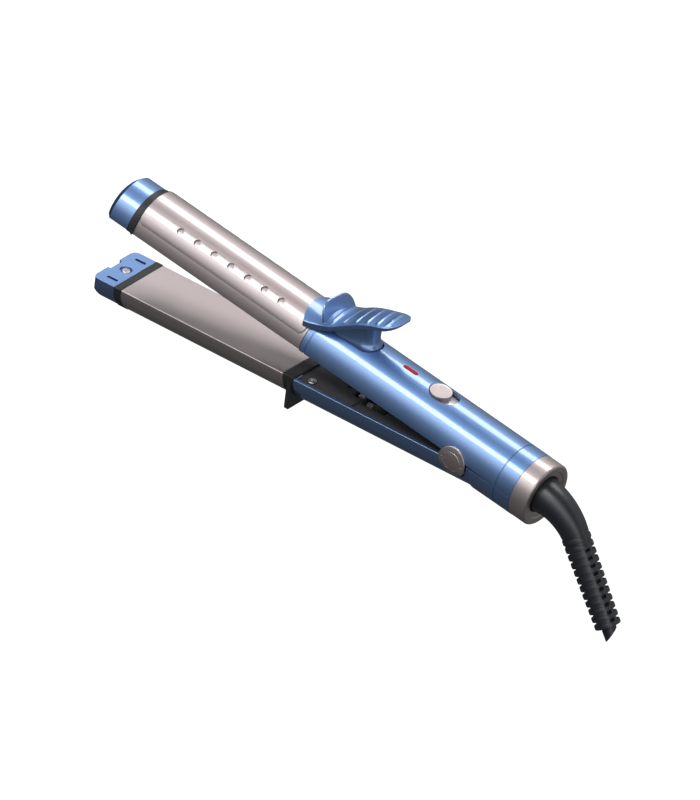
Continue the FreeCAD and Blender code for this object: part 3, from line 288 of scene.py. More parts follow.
# %% [markdown]
# ### Plastics and rubber
# The heat-proof rings and the foot are black moulded plastic with a faint grain; the tray inside
# the lower arm is a matt dark grey. The cord sleeve is softer: its gloss is wide, with a touch of
# sheen, and its grain is coarser. The indicator is clear red plastic.

# %% Plastics and rubber
finishes["blackplastic"] = finish(
    "black_heat_plastic", (0.026, 0.027, 0.031), (0.034, 0.035, 0.040), 0.46, 0.04, 2600, 0.06,
    sockets={"Specular IOR Level": 0.4},
)
finishes["greyplastic"] = finish(
    "dark_grey_plastic", (0.055, 0.056, 0.062), (0.065, 0.066, 0.073), 0.6, 0.05, 2200, 0.10,
    sockets={"Specular IOR Level": 0.3},
)
finishes["rubber"] = finish(
    "cord_rubber", (0.008, 0.010, 0.015), (0.011, 0.013, 0.020), 0.36, 0.04, 1500, 0.05,
    sockets={"Specular IOR Level": 1.0, "Sheen Weight": 0.05},
)
finishes["lens"] = finish(
    "red_lens", (0.52, 0.008, 0.012), (0.44, 0.006, 0.010), 0.28, 0.03, 900, 0.02,
    sockets={"Specular IOR Level": 0.12},
)
print("with plastics", *finishes)

# %% [markdown]
# ### Metals and inner materials
# Screws and pins are zinc-plated steel with brush marks drawn out along one way, which is what the
# stretched mapping does. The heater blocks, the circuit board, the heat spreader and the braided
# leads are hardly seen, but each still gets its own finish.

# %% Metals and inner materials
finishes["steel"] = finish(
    "plated_steel", (0.62, 0.62, 0.64), (0.70, 0.70, 0.71), 0.26, 0.06, 1800, 0.10, (1, 1, 0.2),
    sockets={"Metallic": 1.0},
)
finishes["aluminium"] = finish(
    "mill_aluminium", (0.70, 0.70, 0.71), (0.76, 0.76, 0.77), 0.35, 0.06, 1500, 0.12, (0.1, 1, 1),
    sockets={"Metallic": 1.0},
)
finishes["ceramic"] = finish("heater_ceramic", (0.80, 0.78, 0.72), (0.86, 0.84, 0.79), 0.30, 0.05, 1800, 0.08)
finishes["board"] = finish("circuit_board", (0.03, 0.19, 0.06), (0.05, 0.25, 0.09), 0.32, 0.05, 3000, 0.10)
finishes["leadwire"] = finish(
    "braided_lead", (0.60, 0.54, 0.45), (0.72, 0.66, 0.56), 0.7, 0.05, 1400, 0.4, (0.3, 1, 1),
)
slot_of = {part["node"]: part["material_slot"] for part in frame["record"]["subparts"]}
for node, measured in frame["nodes"].items():
    for place in measured.material_slots:
        place.material = finishes[slot_of[node]]
print("finishes", sorted(finishes))

# %% [markdown]
# ## Modelling helpers
# Most pieces here are turned or half-round. A profile is drawn by extruding one corner from point
# to point, then spun about the handle's axis and cut flat with a bisect. Small cutters take out
# slots and holes through Boolean modifiers that are applied at once. Each helper leaves one mesh in
# place, with its object at the origin.


# %% Names, selection and edit mode
def named(piece, name):
    """Gives an object and its mesh one name."""
    piece.name = piece.data.name = name
    return piece


def active(piece):
    """Makes a piece the only one selected."""
    bpy.ops.object.select_all(action="DESELECT")
    bpy.context.view_layer.objects.active = piece
    piece.select_set(True)


def editing(piece):
    """Opens a piece in edit mode with everything selected."""
    active(piece)
    bpy.ops.object.mode_set(mode="EDIT")
    bpy.ops.mesh.select_all(action="SELECT")


def tidy_skin(piece):
    """Closes seams and poles, turns all faces outwards and leaves edit mode."""
    bpy.ops.mesh.select_all(action="SELECT")
    bpy.ops.mesh.remove_doubles(threshold=2e-6)
    bpy.ops.mesh.normals_make_consistent(inside=False)
    bpy.ops.object.mode_set(mode="OBJECT")
    return piece


# %% Drawing a chain of edges
def drawn(name, points, closed=False):
    """A line of edges through the points: one corner, extruded again and again. Leaves edit mode on."""
    bpy.ops.object.select_all(action="DESELECT")
    bpy.ops.mesh.primitive_plane_add(size=MM, location=points[0])
    piece = named(bpy.context.object, name)
    bpy.ops.object.transform_apply()
    bpy.ops.object.mode_set(mode="EDIT")
    bpy.ops.mesh.select_mode(type="VERT")
    bpy.ops.mesh.select_all(action="SELECT")
    bpy.ops.mesh.merge(type="CENTER")
    stops = list(points) + ([points[0]] if closed else [])
    for a, b in zip(stops, stops[1:]):
        bpy.ops.mesh.extrude_vertices_move(TRANSFORM_OT_translate={"value": b - a})
    bpy.ops.mesh.select_all(action="SELECT")
    if closed:
        bpy.ops.mesh.remove_doubles(threshold=1e-6)
    return piece


def arc(u, v, radius, start, end, steps):
    """Pairs of places on an arc about (u, v), from one angle to another in degrees."""
    turns = [math.radians(start + (end - start) * n / steps) for n in range(steps + 1)]
    return [(u + radius * math.cos(a), v + radius * math.sin(a)) for a in turns]


# %% Turned, extruded and round bodies
def turned(name, profile, closed=False):
    """Spins a profile of (place along the handle, radius) right round the handle's axis."""
    piece = drawn(name, [here(x, 0, radius) for x, radius in profile], closed)
    bpy.ops.mesh.spin(steps=192, angle=math.tau, center=home, axis=(1, 0, 0))
    return tidy_skin(piece)


def prism(name, corners, depth):
    """Fills an outline and pushes the face along depth, in millimetres."""
    piece = drawn(name, [here(*corner) for corner in corners], closed=True)
    bpy.ops.mesh.edge_face_add()
    bpy.ops.mesh.extrude_region_move(TRANSFORM_OT_translate={"value": Vector(depth) * MM})
    return tidy_skin(piece)


def block(name, low, high):
    """A box between two corners."""
    (x0, y0, z0), (x1, y1, z1) = low, high
    return prism(name, [(x0, y0, z0), (x1, y0, z0), (x1, y1, z0), (x0, y1, z0)], (0, 0, z1 - z0))


def rod(name, radius, start, end, corners=96):
    """A cylinder between two places in millimetres, along any direction."""
    a, b = here(*start), here(*end)
    bpy.ops.object.select_all(action="DESELECT")
    bpy.ops.mesh.primitive_cylinder_add(
        vertices=corners, radius=radius * MM, depth=(b - a).length, location=(a + b) / 2,
        rotation=(b - a).to_track_quat("Z", "X").to_euler(),
    )
    piece = named(bpy.context.object, name)
    bpy.ops.object.transform_apply()
    return piece


def axle(name, radius, first, last, corners=192, z=0):
    """A cylinder that lies along the handle, from one place to another."""
    return rod(name, radius, (first, 0, z), (last, 0, z), corners)


# %% Slicing, Booleans, joining and copying
def sliced(piece, place, direction):
    """Cuts at a plane, throws away the side the direction points to, and fills the cut."""
    editing(piece)
    bpy.ops.mesh.bisect(plane_co=place, plane_no=direction, use_fill=True, clear_outer=True)
    return tidy_skin(piece)


def modified(piece, kind, **settings):
    """Adds a modifier, sets it and applies it at once."""
    active(piece)
    bpy.ops.object.modifier_add(type=kind)
    modifier = piece.modifiers[-1]
    for setting, value in settings.items():
        setattr(modifier, setting, value)
    bpy.ops.object.modifier_apply(modifier=modifier.name)
    return piece


def carved(piece, *tools, operation="DIFFERENCE"):
    """Applies a Boolean with each tool and throws the tool away."""
    for tool in tools:
        modified(piece, "BOOLEAN", operation=operation, object=tool)
        bpy.data.objects.remove(tool)
    return piece


def joined(piece, *others):
    """Makes several meshes one object."""
    active(piece)
    for other in others:
        other.select_set(True)
    bpy.ops.object.join()
    return piece


def copied(piece, name):
    """A copy with a mesh of its own."""
    twin = piece.copy()
    twin.data = piece.data.copy()
    bpy.context.scene.collection.objects.link(twin)
    return named(twin, name)


# %% Softening edges and finishing a piece
def softened(piece, width, angle=35, segments=2):
    """Rounds the sharp edges a little, so that they catch the light."""
    return modified(
        piece, "BEVEL", width=width * MM, segments=segments, limit_method="ANGLE",
        angle_limit=math.radians(angle), use_clamp_overlap=False,
    )


def finished(piece, slot, body, *nodes, angle=30):
    """Gives the piece its finish, smooths it, and lets it ride in place of its measured parts."""
    active(piece)
    bpy.ops.object.shade_smooth_by_angle(angle=math.radians(angle))
    modified(piece, "WEIGHTED_NORMAL", keep_sharp=True, weight=80)
    piece.data.materials.clear()
    piece.data.materials.append(finishes[slot])
    if nodes:
        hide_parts(*nodes)
    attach(piece, body)
    print(piece.name, len(piece.data.polygons), "faces")
    return piece

# %% [markdown]
# ## Handle shells
# The handle is two thin lacquered shells that meet on a seam, with a fine groove behind the front
# collar and another ahead of the end ring. One closed wall profile, grooves included, is spun right
# round; a copy is kept for each shell and cut at the seam. The openings for the lever, the lamp and
# the button are cut last, so their edges stay crisp, and all edges are softened a little.

# %% Wall profile with its two grooves
wall = 2.0
front_groove, rear_groove = handle_front + 3.1, -10.5


def groove(x, wide=0.6, deep=0.5):
    """Corners of a narrow groove that starts at x, drawn towards the front."""
    floor = handle_radius - deep
    return [(x + wide, handle_radius), (x + wide, floor), (x, floor), (x, handle_radius)]


shell_profile = (
    [(0, handle_radius - wall), (0, handle_radius)]
    + groove(rear_groove) + groove(front_groove)
    + [(handle_front, handle_radius), (handle_front, handle_radius - wall)]
)
upper_shell = turned("handle_upper_shell", shell_profile, closed=True)
lower_shell = copied(upper_shell, "handle_rear_lower_shell")
print("full wall", len(upper_shell.data.polygons), "faces")

# %% Upper shell
seam = 1.0
split_x = pivot_x + 9.6
sliced(upper_shell, here(0, 0, 0), (0, 0, -1))
carved(upper_shell, block("seam_step", (handle_front - 5, -30, -5), (split_x, 30, seam)))


def stadium(x0, x1, half, z, turns=16):
    """A slot outline along the handle, with round ends."""
    right = [math.radians(-90 + 180 * n / turns) for n in range(turns + 1)]
    ends = [(x1 - half + half * math.cos(a), half * math.sin(a), z) for a in right]
    return ends + [(x0 + half - half * math.cos(a), -half * math.sin(a), z) for a in right]


lever_pivot_x = round((joints["clamp_lift"]["pos_m"][0] - home.x) / MM, 2)
lens_x = handle_front + 55.5
button_x = round((joints["button_slide"]["pos_m"][0] - home.x) / MM, 2)
button_travel = joints["button_slide"]["range_m"][1] / MM
carved(
    upper_shell,
    prism("lever_slot", stadium(lever_pivot_x - 5.5, lever_pivot_x + 25.9, 7.8, 8), (0, 0, 20)),
    prism("lens_slot", stadium(lens_x - 4.6, lens_x + 4.6, 1.25, 8), (0, 0, 20)),
    prism("button_slot", stadium(button_x - 6.4, button_x + 6.4 + button_travel, 6.4, 8), (0, 0, 20)),
)
finished(softened(upper_shell, 0.18), "blue", "handle", "upper_handle_shell")

# %% Rear lower shell
sliced(lower_shell, here(0, 0, 0), (0, 0, 1))
leaning = Vector((-math.cos(open_angle), 0, -math.sin(open_angle)))
sliced(lower_shell, here(split_x + 0.55, 0, pivot_z), leaning)
boss_x, screw_wells = -17, []
for side in (8, -8):
    boss = rod("screw_boss", 3.8, (boss_x, side, -18), (boss_x, side, -1))
    boss_limit = axle("boss_limit", handle_radius - 0.6, boss_x - 7, boss_x + 7, 96)
    carved(boss, boss_limit, operation="INTERSECT")
    carved(lower_shell, boss, operation="UNION")
    screw_wells.append(rod("screw_well", 2.6, (boss_x, side, -30), (boss_x, side, -11.6), 48))
carved(lower_shell, *screw_wells)
finished(softened(lower_shell, 0.18), "blue", "handle", "rear_lower_shell")

# %% [markdown]
# ## End ring and cord sleeve
# The champagne ring closes the handle with a round rim and a shallow dish, and the black rubber
# sleeve turns in its opening. The ring is one spun profile. The sleeve's neck bends down, so its
# skin is carried along the bend from ring to ring. Its ribbed part repeats one link, a round rib
# with the webs that tie it to the next, so one link is modelled and copied along the line.

# %% End ring
ring_length = round((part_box("end_ring")[1].x - home.x) / MM, 2)
ring_radius, rim_round = 17.4, 1.3
# depth of the dish under the rim, and the radius there
dish = [
    (0.25, 13.75), (0.32, 13.6), (0.8, 13.3), (0.9, 13.1),
    (1.0, 11.6), (1.15, 11.0), (1.55, 10.45), (2.1, 10.2),
]
ring_profile = (
    [(0.06, 15.0), (0.06, ring_radius - 0.15), (0.2, ring_radius)]
    + arc(ring_length - rim_round, ring_radius - rim_round, rim_round, 90, 0, 8)
    + [(ring_length - depth, radius) for depth, radius in dish]
    + [(2.2, 10.0), (2.2, 15.0)]
)
end_ring = turned("cord_end_ring", ring_profile, closed=True)
finished(end_ring, "champagne", "handle", "end_ring", angle=32)

# %% The sleeve's centre line
bend_radius, bend_angle = 29.4, math.radians(48.65)
bend_start = ring_length + 0.2


def bend_place(turn):
    """The middle of the sleeve, a given turn along its bend."""
    return Vector((bend_start + bend_radius * math.sin(turn), 0, -bend_radius * (1 - math.cos(turn))))


def bend_ring(turn, radius, corners=72):
    """A ring of points square to the bend, a given turn along it."""
    centre = bend_place(turn)
    up = Vector((math.sin(turn), 0, math.cos(turn)))
    side = Vector((0, 1, 0))
    around = [math.tau * n / corners for n in range(corners)]
    return [here(*(centre + (up * math.cos(a) + side * math.sin(a)) * radius)) for a in around]


line_start = bend_place(bend_angle)
line_way = Vector((math.cos(bend_angle), 0, -math.sin(bend_angle)))
line_up = Vector((math.sin(bend_angle), 0, math.cos(bend_angle)))
print("the sleeve runs straight from", [round(value, 2) for value in line_start])


# %% Carrying a skin from ring to ring
def lofted(name, rings):
    """Draws and fills the first ring, then pushes it out and places its corners ring by ring."""
    piece = drawn(name, rings[0], closed=True)
    bpy.ops.mesh.edge_face_add()
    for last, ring in zip(rings, rings[1:]):
        bpy.ops.mesh.extrude_region()
        mesh = bmesh.from_edit_mesh(piece.data)
        for corner in [v for v in mesh.verts if v.select]:
            nearest = min(range(len(last)), key=lambda n: (last[n] - corner.co).length_squared)
            corner.co = ring[nearest]
        bmesh.update_edit_mesh(piece.data)
    return tidy_skin(piece)


# %% Neck of the sleeve
neck_radius, neck_slims_by, bend_steps = 9.7, 2.45, 24
mouth = bend_ring(0, neck_radius)
neck_rings = [[point - Vector((ring_length * 0.9 * MM, 0, 0)) for point in mouth], mouth]
for step in range(1, bend_steps + 1):
    part = step / bend_steps
    neck_rings.append(bend_ring(bend_angle * step / bend_steps, neck_radius - neck_slims_by * part ** 0.9))
neck = lofted("sleeve_neck", neck_rings)
print("neck", len(neck.data.polygons), "faces")


# %% One link of the ribbed part
def along(distance, radius, angle):
    """A place by distance down the sleeve's straight line, radius, and angle round it from the near side."""
    side = Vector((0, -1, 0))
    return line_start + line_way * distance + (side * math.cos(angle) + line_up * math.sin(angle)) * radius


def ribbed_turn(name, profile, start=0.0, sweep=math.tau, steps=72):
    """Spins a closed profile of (distance, radius) about the sleeve's straight line."""
    piece = drawn(name, [here(*along(distance, radius, start)) for distance, radius in profile], closed=True)
    bpy.ops.mesh.spin(steps=steps, angle=sweep, center=here(*line_start), axis=line_way)
    return tidy_skin(piece)


link_pitch, first_link, link_count, link_wide = 4.186, 2.2, 12, 2.7
rib_radius, web_radius, link_slims_by = 7.55, 7.3, 0.0085


def rib(distance, radius):
    """A round rib with softened edges."""
    low, high = distance - link_wide / 2, distance + link_wide / 2
    return ribbed_turn("sleeve_rib", [
        (low, 4.0), (low, radius - 0.45), (low + 0.12, radius - 0.13), (low + 0.45, radius),
        (high - 0.45, radius), (high - 0.12, radius - 0.13), (high, radius - 0.45), (high, 4.0),
    ])


def web(distance, radius, first, last):
    """A bridge from one rib to the next that covers part of the way round."""
    low, high = distance + link_wide / 2 - 0.3, distance + link_pitch - link_wide / 2 + 0.3
    bridge = ribbed_turn(
        "sleeve_web", [(low, 4.2), (low, radius), (high, radius), (high, 4.2)],
        math.radians(first), math.radians(last - first), max(2, round((last - first) / 5)),
    )
    editing(bridge)
    bpy.ops.mesh.fill_holes(sides=8)
    return tidy_skin(bridge)


def moved_on(pattern, name, place, links):
    """A copy of a pattern made at a place along the line, some links further on and slimmer by as many."""
    twin = copied(pattern, name)
    active(twin)
    slim = 1 - link_slims_by * links
    bpy.ops.transform.resize(value=(slim, slim, slim), center_override=here(*along(place, 0, 0)))
    bpy.ops.transform.translate(value=line_way * link_pitch * links * MM)
    return twin


# %% All the links
third = first_link + 2 * link_pitch
first_rib = rib(first_link, rib_radius)
bridges = joined(*[
    web(third, web_radius, start + half_turn, end + half_turn)
    for half_turn in (0, 180) for start, end in ((-6, 58), (82, 96))
])
sleeve_parts = []
for count in range(link_count):
    sleeve_parts.append(moved_on(first_rib, "sleeve_rib_%d" % count, first_link, count))
    if 1 <= count < link_count - 1:
        sleeve_parts.append(moved_on(bridges, "sleeve_bridges_%d" % count, third, count - 2))
bpy.data.objects.remove(first_rib)
bpy.data.objects.remove(bridges)
print("sleeve links", link_count)

# %% Core and slanted tail
last_rib = first_link + (link_count - 1) * link_pitch
core = ribbed_turn("sleeve_core", [
    (-1.0, 3.0), (-1.0, 7.1), (first_link + link_pitch * 0.8, 6.9), (first_link + link_pitch * 1.2, 5.3),
    (last_rib, 4.6), (last_rib + 1.3, 4.2), (last_rib + 1.9, 3.85),
    (last_rib + 12, 3.8), (last_rib + 12, 3.0),
])
slant = (line_way + (line_up + Vector((0, 1, 0))) * (0.697 * math.sqrt(0.5))).normalized()
sliced(core, here(*(line_start + line_way * (last_rib + 5.85))), slant)
softened(core, 0.12)
sleeve = named(joined(neck, core, *sleeve_parts), "ribbed_cord_sleeve")
bpy.ops.object.transform_apply()
finished(sleeve, "rubber", "swivel", "strain_relief", angle=35)

# %% [markdown]
# ## Curling barrel, heating plate and clamp
# The barrel is a half-round extrusion with a flat floor and a long window that the upper heating
# plate fills. It is a solid bar first, hollowed with a slimmer bar. The clamp is bent sheet that
# hugs the barrel and thins out at its long edges, so its cross-section is drawn once and pushed
# along; its corners are rounded and two rows of vents are drilled through it.


# %% Half-round bars
def bar(front, rear, radius, inner=0):
    """The profile of a plain bar, or of a tube where inner is given."""
    return [(front, inner), (front, radius), (rear, radius), (rear, inner)]


def half_round(name, profile, floor):
    """A turned bar that is kept above the floor only."""
    return sliced(turned(name, profile), here(0, 0, floor), (0, 0, -1))


def half_trough(name, profile, rim, closed=False):
    """A turned bar that is kept below the rim only."""
    return sliced(turned(name, profile, closed=closed), here(0, 0, rim), (0, 0, 1))


# %% Barrel
barrel_radius, barrel_wall, barrel_floor, plate_half = 17.6, 1.5, 1.6, 14.5
barrel = half_round("curling_barrel", bar(barrel_front, barrel_rear, barrel_radius), barrel_floor)
hollow_profile = bar(barrel_front - 3, barrel_rear + 3, barrel_radius - barrel_wall)
hollow = half_round("barrel_hollow", hollow_profile, barrel_floor + barrel_wall)
window_half = plate_half + 0.2
window = block("plate_window", (barrel_front + 1.8, -window_half, -3), (barrel_rear - 1.8, window_half, 5))
carved(barrel, hollow, window)
finished(softened(barrel, 0.2, segments=3), "champagne", "handle", "barrel")
upper_plate = block(
    "upper_plate_face", (barrel_front + 2, -plate_half, -0.55), (barrel_rear - 2, plate_half, 3.1),
)
finished(softened(upper_plate, 0.6, segments=4), "champagne", "handle", "upper_heating_plate")

# %% Clamp sheet
clamp_radius, clamp_inner = 19.1, 17.9
thin_from, clamp_edge = 22, 61.0      # degrees from the top where the sheet starts to thin out, and ends
clamp_front, clamp_rear = barrel_front + 0.2, handle_front - 1.6


def clamp_outside(degrees):
    """The sheet's outer radius, which falls towards both long edges."""
    past = max(0.0, (abs(degrees) - thin_from) / (clamp_edge - thin_from))
    return clamp_radius - 0.95 * past ** 1.25


def on_clamp(degrees, radius):
    """A place on the clamp's front end."""
    a = math.radians(degrees)
    return clamp_front, -radius * math.sin(a), radius * math.cos(a)


sweep = [-clamp_edge + 2 * clamp_edge * n / 96 for n in range(97)]
section = [on_clamp(degrees, clamp_outside(degrees)) for degrees in sweep]
section += [on_clamp(degrees, clamp_inner) for degrees in reversed(sweep)]
clamp = prism("clamp_sheet", section, (clamp_rear - clamp_front, 0, 0))
low_edge = clamp_outside(clamp_edge) * math.cos(math.radians(clamp_edge)) - 0.5
corner = 4.0
outline = [(clamp_front - 1, 30), (clamp_rear + 1, 30), (clamp_rear + 1, low_edge + corner)]
outline += arc(clamp_rear - corner, low_edge + corner, corner, 0, -90, 12)
outline += arc(clamp_front + corner, low_edge + corner, corner, -90, -180, 12)
outline += [(clamp_front - 1, low_edge + corner)]
carved(clamp, prism("clamp_outline", [(x, -30, z) for x, z in outline], (0, 60, 0)), operation="INTERSECT")
print("clamp", len(clamp.data.polygons), "faces before the vents")

# %% Vents
vent_count, vent_pitch, vent_angle = 7, 11.08, math.radians(35)
drills = []
for side in (1, -1):
    out = Vector((0, side * math.sin(vent_angle), math.cos(vent_angle)))
    for count in range(vent_count):
        middle = Vector((handle_front - 21.0 - count * vent_pitch, 0, 0))
        drills.append(rod("vent_drill", 1.85, middle + out * 12, middle + out * 24, 40))
carved(clamp, joined(*drills))
finished(softened(clamp, 0.16), "champagne", "clamp", "clamp_plate", angle=35)

# %% [markdown]
# ## Thumb lever
# The blue lever is one moulding: a smooth dome that grips the clamp's rear, a thin upright wall that
# stops the thumb, and a paddle with cross ribs that climbs away over a waisted pedestal. None of it
# is round or flat, so each body is a skin carried along a row of sections. The sections come from a
# short list of widths and heights along the lever, and the ribs are small waves added on top.

# %% Lever sections
# distance behind the handle's front edge, half width, height of the side edge and of the crown,
# thickness at the side and in the middle
lever_list = [
    (-9.0, 14.2, 15.6, 19.8, 2.8, 1.0), (-2.0, 14.1, 16.9, 21.0, 3.2, 2.0),
    (5.0, 13.6, 18.9, 22.8, 4.2, 3.0), (12.0, 13.4, 22.3, 24.2, 3.6, 3.2),
    (18.7, 12.7, 27.3, 28.9, 3.2, 3.2), (25.3, 11.2, 31.7, 33.0, 2.9, 3.0),
    (31.0, 10.4, 34.6, 35.8, 2.6, 2.8), (38.2, 10.0, 37.7, 38.8, 2.3, 2.4),
    (46.0, 10.0, 40.6, 41.6, 1.8, 2.0),
]


def row_before(rows, place):
    """The number of the last row, other than the end one, that starts at or before a place."""
    return max(n for n in range(len(rows) - 1) if rows[n][0] <= place or n == 0)


def lever_at(place):
    """Smoothly interpolated widths and heights at a place along the lever."""
    n = row_before(lever_list, place)
    a, b = lever_list[n], lever_list[n + 1]
    before, after = lever_list[max(n - 1, 0)], lever_list[min(n + 2, len(lever_list) - 1)]
    t = (place - a[0]) / (b[0] - a[0])
    values = []
    for k in range(1, 6):
        slope_a = (b[k] - before[k]) / (b[0] - before[0]) * (b[0] - a[0])
        slope_b = (after[k] - a[k]) / (after[0] - a[0]) * (b[0] - a[0])
        values.append(
            (2 * t ** 3 - 3 * t ** 2 + 1) * a[k] + (t ** 3 - 2 * t ** 2 + t) * slope_a
            + (3 * t ** 2 - 2 * t ** 3) * b[k] + (t ** 3 - t ** 2) * slope_b
        )
    return values


lever_start, lever_tip, tip_length = -8.6, 45.4, 8.6
rib_places = [9.4, 15.6, 21.8, 27.6, 33.2, 38.4]


def ripple(place, across):
    """Height of the thin cross ribs, which lean a little and fade before the paddle's side edges."""
    fade = min(1.0, max(0.0, (0.86 - abs(across)) / 0.12))
    crest = sum(math.exp(-((place + 1.0 * across - stop) / 0.62) ** 2) for stop in rib_places)
    return 0.55 * fade * crest


def lever_section(place, full=1.0, thick=1.0):
    """A closed ring of points round the blade: a crowned top, crisp side edges and a tucked-in underside."""
    half, edge, crown, side_thick, mid_thick = lever_at(place)
    half *= full
    bow = 4.7 * max(0.0, 1 - (place - lever_start) / 16) ** 2
    spread = [math.sin(math.radians(-90 + 180 * n / 44)) for n in range(45)]
    upper, lower = [], []
    for u in spread:
        x = handle_front + place + bow * u * u
        top = edge + (crown - edge) * (1 - (u * full) ** 2)
        depth = (mid_thick + (side_thick - mid_thick) * (u * full) ** 2) * thick
        shoulder = max(0.0, (abs(u) - 0.955) / 0.045)
        upper_z = top - 0.28 * (1 - math.sqrt(1 - min(1.0, shoulder) ** 2))
        tuck = max(0.0, (abs(u) - 0.88) / 0.12)
        lower_z = top - depth + max(0.0, depth - 2.9) * tuck ** 2.2
        upper.append(here(x, half * u, upper_z + ripple(place, u) * thick))
        lower.append(here(x, half * u, min(lower_z, upper_z - 0.2)))
    return upper + lower[::-1]


# %% Blade
stops = [(lever_start, 1.0, 0.25), (lever_start + 0.15, 1.0, 0.55), (lever_start + 0.5, 1.0, 0.85)]
stops += [(lever_start + 1.1 + n * 0.9, 1.0, 1.0) for n in range(17)]
fine_start, round_from = stops[-1][0], lever_tip - tip_length
fine = int((round_from - fine_start) / 0.31)
stops += [(fine_start + (round_from - fine_start) * n / fine, 1.0, 1.0) for n in range(1, fine + 1)]
for n in range(1, 15):
    angle = math.radians(88.5 * n / 14)
    narrow, thin = math.cos(angle) ** 0.85, max(0.3, math.cos(angle) ** 0.4)
    stops.append((round_from + tip_length * math.sin(angle), narrow, thin))
blade = lofted("lever_blade", [lever_section(*stop) for stop in stops])
print("blade", len(blade.data.polygons), "faces")

# %% Upright wall
wall_place, wall_lean, wall_half, wall_top = 5.5, math.radians(25), 12.0, 29.3
# part of the way up the wall, and how far its front and rear faces stand from its middle there
wall_steps = [
    (0, 1.7, 3.0), (0.06, 1.35, 2.2), (0.15, 1.05, 1.6), (0.3, 0.9, 1.2), (0.55, 0.8, 0.95), (0.8, 0.7, 0.8),
    (0.92, 0.62, 0.7), (0.97, 0.5, 0.55), (0.995, 0.25, 0.28),
]


def wall_ring(u):
    """A ring up the front of the wall and down its rear; u runs across it from -1 to 1."""
    across = wall_half * 0.985 * u + 0.1
    foot = 18.6 + 2.2 * (1 - u * u)
    top = foot + 1.0 + (wall_top - foot - 1.0) * max(0.0, 1 - abs(u) ** 4.0) ** 0.45
    middle = handle_front + wall_place + 0.9 * u * u + 0.9 * u
    faces = [(height, -ahead) for height, ahead, _ in wall_steps]
    faces += [(height, behind) for height, _, behind in reversed(wall_steps)]
    ring = []
    for height, aside in faces:
        z = foot + (top - foot) * height
        ring.append(here(middle - (z - 22) * math.tan(wall_lean) + aside, across, z))
    return ring


thumb_wall = lofted("lever_wall", [wall_ring(-math.cos(math.pi * n / 40)) for n in range(41)])
print("wall", len(thumb_wall.data.polygons), "faces")

# %% Pedestal
# height above the handle's axis, and how far the sides and the two ends draw in there
waist = [
    (12.4, -0.15, -0.5), (16.1, -0.15, -0.5), (16.4, 0.0, 0.0), (17.6, 0.1, 0.1),
    (18.2, 0.6, 0.7), (19.4, 1.1, 1.5), (22.0, 1.5, 2.2), (28.0, 1.7, 2.6),
    (32.0, 1.2, 2.2), (36.0, -0.6, 0.6), (42.0, -3.0, -1.0),
]
skirt_low, skirt_front, skirt_rear, skirt_half = waist[0][0], lever_pivot_x - 4.8, lever_pivot_x + 25.0, 7.4
# parts of the way from the skirt's lower edge to the blade, closer where the shape turns
levels = [0, 0.1, 0.2, 0.215, 0.25, 0.28, 0.31, 0.35, 0.4, 0.48, 0.57, 0.66, 0.75, 0.83, 0.9, 0.96, 1.0]


def drawn_in(height):
    """How far the pedestal's sides and ends draw in at a height."""
    n = row_before(waist, height)
    a, b = waist[n], waist[n + 1]
    t = min(1.0, max(0.0, (height - a[0]) / (b[0] - a[0])))
    return a[1] + (b[1] - a[1]) * t, a[2] + (b[2] - a[2]) * t


def pedestal_ring(level):
    """A slot-shaped ring that bends to follow the blade's underside as it climbs."""
    ring = []
    for x, y, z in stadium(skirt_front, skirt_rear, skirt_half, skirt_low):
        half, edge, crown, _, mid_thick = lever_at(x - handle_front)
        ceiling = edge + (crown - edge) * (1 - (y / half) ** 2) - mid_thick * 0.5
        height = z + (ceiling - z) * level
        narrow, pull = drawn_in(height)
        along_x = (x - skirt_front) / (skirt_rear - skirt_front)
        ring.append(here(x + pull * (0.4 * (1 - along_x) - along_x), y * (1 - narrow / skirt_half), height))
    return ring


pedestal = lofted("lever_pedestal", [pedestal_ring(level) for level in levels])
spring_x = lever_pivot_x + 17
carved(pedestal, rod("spring_room", 4.9, (spring_x, 0, 10), (spring_x, 0, 15.6)))
lever = named(joined(blade, thumb_wall, pedestal), "thumb_lever_moulding")
finished(lever, "blue", "clamp", "thumb_lever", angle=50)

# %% [markdown]
# ## Lamp and slide button
# A red window shows when the iron is hot, and the champagne button beside it slides to switch it.
# The window is a slot-shaped plug, cut to follow the round of the handle. The button is a disc with
# a rounded rim and a faint dish, on a slider that closes the rest of the opening from below.

# %% Lamp window
lamp = prism("lamp_window", stadium(lens_x - 4.5, lens_x + 4.5, 1.15, 14.5), (0, 0, 5))
carved(lamp, axle("lamp_round", handle_radius + 0.2, lens_x - 12, lens_x + 12), operation="INTERSECT")
finished(softened(lamp, 0.15), "lens", "handle", "indicator_lens")

# %% Slide button
rim_wide, dish_deep, dish_slope = 0.9, 0.12, 1.5
button = rod("slide_button_disc", 6.0, (button_x, 0, 14.5), (button_x, 0, handle_radius + 0.3), 96)
active(button)
bpy.ops.object.mode_set(mode="EDIT")
bpy.ops.mesh.select_mode(type="FACE")
bpy.ops.mesh.select_all(action="DESELECT")
button_mesh = bmesh.from_edit_mesh(button.data)
for face in button_mesh.faces:
    face.select = face.normal.z > 0.9
bmesh.update_edit_mesh(button.data)
bpy.ops.mesh.inset(thickness=rim_wide * MM)
bpy.ops.transform.translate(value=(0, 0, -dish_deep * MM))
bpy.ops.mesh.inset(thickness=dish_slope * MM)
bpy.ops.mesh.select_mode(type="VERT")
bpy.ops.object.mode_set(mode="OBJECT")
softened(button, 0.45, angle=50, segments=4)
slider_reach = 6.4 + button_travel + 1.2
slider_outline = stadium(button_x - slider_reach, button_x + slider_reach, 6.9, 12.4)
slider = prism("button_slider", slider_outline, (0, 0, 4))
carved(slider, axle("slider_round", 15.2, button_x - 30, button_x + 30), operation="INTERSECT")
finished(joined(button, slider), "champagne", "button", "slide_button", angle=35)

